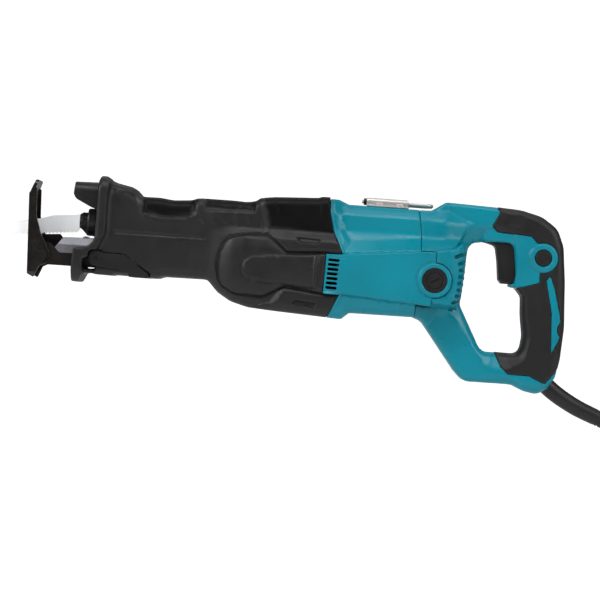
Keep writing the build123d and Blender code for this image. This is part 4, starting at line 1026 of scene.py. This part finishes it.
def glossy_coat(name, colour, rough):
    """Stoved black coat on sheet steel, chipped to bare steel at its corners."""
    f = Finish(name)
    chips = f.product(f.edge(0.6), f.span(f.noise(3.0, 5.0, rough=0.7), 0.66, 0.74, 0.0, 0.6))
    drift = f.mix(f.span(f.noise(20, 3.0), 0.3, 0.7, 0.0, 1.0), scaled(colour, 0.8), colour)
    base = f.mix(chips, drift, (0.30, 0.29, 0.28))
    scuff = f.span(f.noise(9, 5.0, rough=0.7), 0.35, 0.7, rough - 0.04, rough + 0.14)
    normal = f.bump(f.noise(1.6, 2.0), 0.012, f.soft_edge(0.9))
    f.set(Base_Color=base, Roughness=scuff, Normal=normal, Metallic=chips, Specular_IOR_Level=0.5)
    return f


def plastics():
    """Moulded plastics and rubbers: colour, roughness, then the grain's size and depth in mm."""
    return [
        moulded("teal_plastic", (0.0, 0.180, 0.240), 0.33, 0.9, 0.008, gloss=0.27,
                worn=(0.003, 0.22, 0.29)),
        moulded("rubber", (0.0090, 0.0082, 0.0086), 0.46, 0.8, 0.030, gloss=0.33, spread=0.16,
                worn=(0.022, 0.020, 0.020), smooth=(0.0030, 0.0028, 0.0029)),
        moulded("black_plastic", (0.0100, 0.0095, 0.0100), 0.38, 0.7, 0.014, gloss=0.32, spread=0.15,
                worn=(0.02, 0.019, 0.019), bevel=0.5),
        moulded("white_plastic", (0.62, 0.60, 0.54), 0.45, 0.8, 0.01, spread=0.05, bevel=0.3),
        moulded("cord_jacket", (0.015, 0.0145, 0.0145), 0.42, 1.2, 0.016, gloss=0.40, spread=0.15),
        moulded("carbon", (0.03, 0.03, 0.033), 0.5, 0.4, 0.01, spread=0.2, bevel=0.2),
        moulded("felt", (0.22, 0.20, 0.16), 0.95, 0.6, 0.12, gloss=0.1, spread=0.3),
    ]


def metals():
    """Bare, plated and painted metals: colour, roughness, then the grain's stretch, size and depth."""
    return [
        # Near-white base and almost no metallic shine: a painted reflection, standing in for the bright
        # surround that bare blade steel would mirror.
        metal("blade_steel", (0.96, 0.97, 0.99), 0.34, (1, 1, 9), 0.9, 0.003, dark=0.94, bevel=0.12,
              shine=0.05),
        metal("bright_steel", (0.55, 0.55, 0.56), 0.24, (12, 1, 1), 0.8, 0.004),
        metal("phosphate", (0.040, 0.036, 0.034), 0.46, depth_mm=0.012, dark=0.6),
        metal("spring_steel", (0.30, 0.25, 0.20), 0.3, depth_mm=0.004, bevel=0.05),
        metal("cast_alloy", (0.26, 0.26, 0.29), 0.50, lines_mm=0.7, depth_mm=0.035, dark=0.7, bevel=0.9,
              stain=(0.16, 0.155, 0.15)),
        metal("bronze", (0.50, 0.31, 0.13), 0.4, lines_mm=0.3, depth_mm=0.006,
              stain=(0.20, 0.12, 0.05)),
        metal("copper", (0.72, 0.30, 0.15), 0.3, lines_mm=0.5, depth_mm=0.02),
        metal("lamination", (0.22, 0.22, 0.23), 0.42, (14, 1, 1), 0.5, 0.02),
        metal("zinc_sheet", (0.56, 0.54, 0.52), 0.42, (1, 6, 6), 0.8, 0.003, dark=0.92, bevel=0.4,
              shine=0.7),
        glossy_coat("black_paint", (0.0085, 0.0070, 0.0062), 0.18),
    ]


def dress():
    """Gives every piece the material of its slot."""
    finishes = {finish.name: finish.material for finish in plastics() + metals()}
    slot_of = {row["node"]: row["material_slot"] for row in frame["record"]["subparts"]}
    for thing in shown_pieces():
        slot = thing.get("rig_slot") or slot_of[thing.get("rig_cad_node", thing.name)]
        thing.data.materials.clear()
        thing.data.materials.append(finishes[slot])


# ---------------------------------------------------------------- stage
CENTRE = Vector((170.6, 0.0, -53.8)) * MM
ROLL = radians(4.0)
DISTANCE = 2.2
FLOOR_Z = -0.34
FLOOR_BACK = 3.0  # where the floor starts to curve up
FLOOR_CURVE = 1.5


def camera():
    """Looks square on to the left side, with the tool tipped four degrees nose up."""
    data = bpy.data.cameras.new("camera")
    data.lens = 156.2
    data.sensor_width = 36.0
    data.clip_end = 50
    thing = placed("camera", data)
    right = Vector((cos(ROLL), 0, sin(ROLL)))
    up = Vector((-sin(ROLL), 0, cos(ROLL)))
    turn = Matrix((right, up, right.cross(up))).transposed().to_4x4()
    thing.matrix_world = Matrix.Translation(CENTRE + Vector((0, -DISTANCE, 0))) @ turn
    bpy.context.scene.camera = thing


def softbox(name, place, size, power, mirrored=True):
    """Rectangular lamp aimed at the saw; when not mirrored it doesn't show in glossy surfaces."""
    data = bpy.data.lights.new(name, "AREA")
    data.shape = "RECTANGLE"
    data.size, data.size_y = size
    data.energy = power
    thing = placed(name, data)
    thing.location = place
    thing.visible_glossy = mirrored
    thing.rotation_euler = (CENTRE - Vector(place)).to_track_quat("-Z", "Y").to_euler()


def backdrop():
    """Pale seamless floor that curves up behind the object."""
    angles = [radians(a) for a in range(10, 91, 10)]
    curve = [(FLOOR_BACK + FLOOR_CURVE * sin(a), FLOOR_Z + FLOOR_CURVE * (1 - cos(a))) for a in angles]
    rows = [(-6.0, FLOOR_Z), (FLOOR_BACK, FLOOR_Z), *curve, (FLOOR_BACK + FLOOR_CURVE, 6.0)]
    verts = [(x, y, z) for y, z in rows for x in (-8.0, 8.0)]
    faces = [(2 * i, 2 * i + 1, 2 * i + 3, 2 * i + 2) for i in range(len(rows) - 1)]
    mesh = bpy.data.meshes.new("floor")
    mesh.from_pydata(verts, [], faces)
    mesh.shade_smooth()
    f = Finish("floor")
    tone = f.mix(f.noise(400, 2.0), (0.86, 0.86, 0.86), (0.90, 0.90, 0.90))
    seen = f.node("LightPath").outputs["Is Camera Ray"]
    glow = f.span(seen, 0, 1, 0.05, 0.85)
    f.set(Base_Color=tone, Roughness=0.9, Specular_IOR_Level=0.1, Emission_Color=(1.0, 1.0, 1.0),
          Emission_Strength=glow)
    mesh.materials.append(f.material)
    placed("floor", mesh)


def world():
    """White seen directly, dimmer as a light so that black pieces stay black."""
    scene_world = bpy.data.worlds.new("studio")
    scene_world.use_nodes = True
    tree = scene_world.node_tree
    seen = tree.nodes.new("ShaderNodeLightPath").outputs["Is Camera Ray"]
    strength = tree.nodes.new("ShaderNodeMapRange")
    strength.inputs["To Min"].default_value = 0.06
    strength.inputs["To Max"].default_value = 1.0
    tree.links.new(seen, strength.inputs["Value"])
    tree.links.new(strength.outputs[0], tree.nodes["Background"].inputs["Strength"])
    tree.nodes["Background"].inputs["Color"].default_value = (1, 1, 1, 1)
    bpy.context.scene.world = scene_world


def lights():
    """Two big side lamps that catch the bevels, one above, a dull front one and one behind."""
    softbox("left", (-1.75, -1.15, 1.05), (1.0, 1.3), 40)
    softbox("right", (2.0, -1.15, 1.05), (1.0, 1.3), 27)
    softbox("above", (0.2, -0.9, 1.9), (1.6, 0.7), 22)
    softbox("front", (0.0, -2.6, 0.4), (1.0, 1.0), 11, mirrored=False)
    softbox("rim", (0.3, 0.9, 1.5), (1.8, 0.6), 6)


nose_boot()
motor_housing()
handle_and_grips()
cord_pieces()
dress()
camera()
backdrop()
world()
lights()
bpy.context.scene.view_settings.view_transform = "Standard"
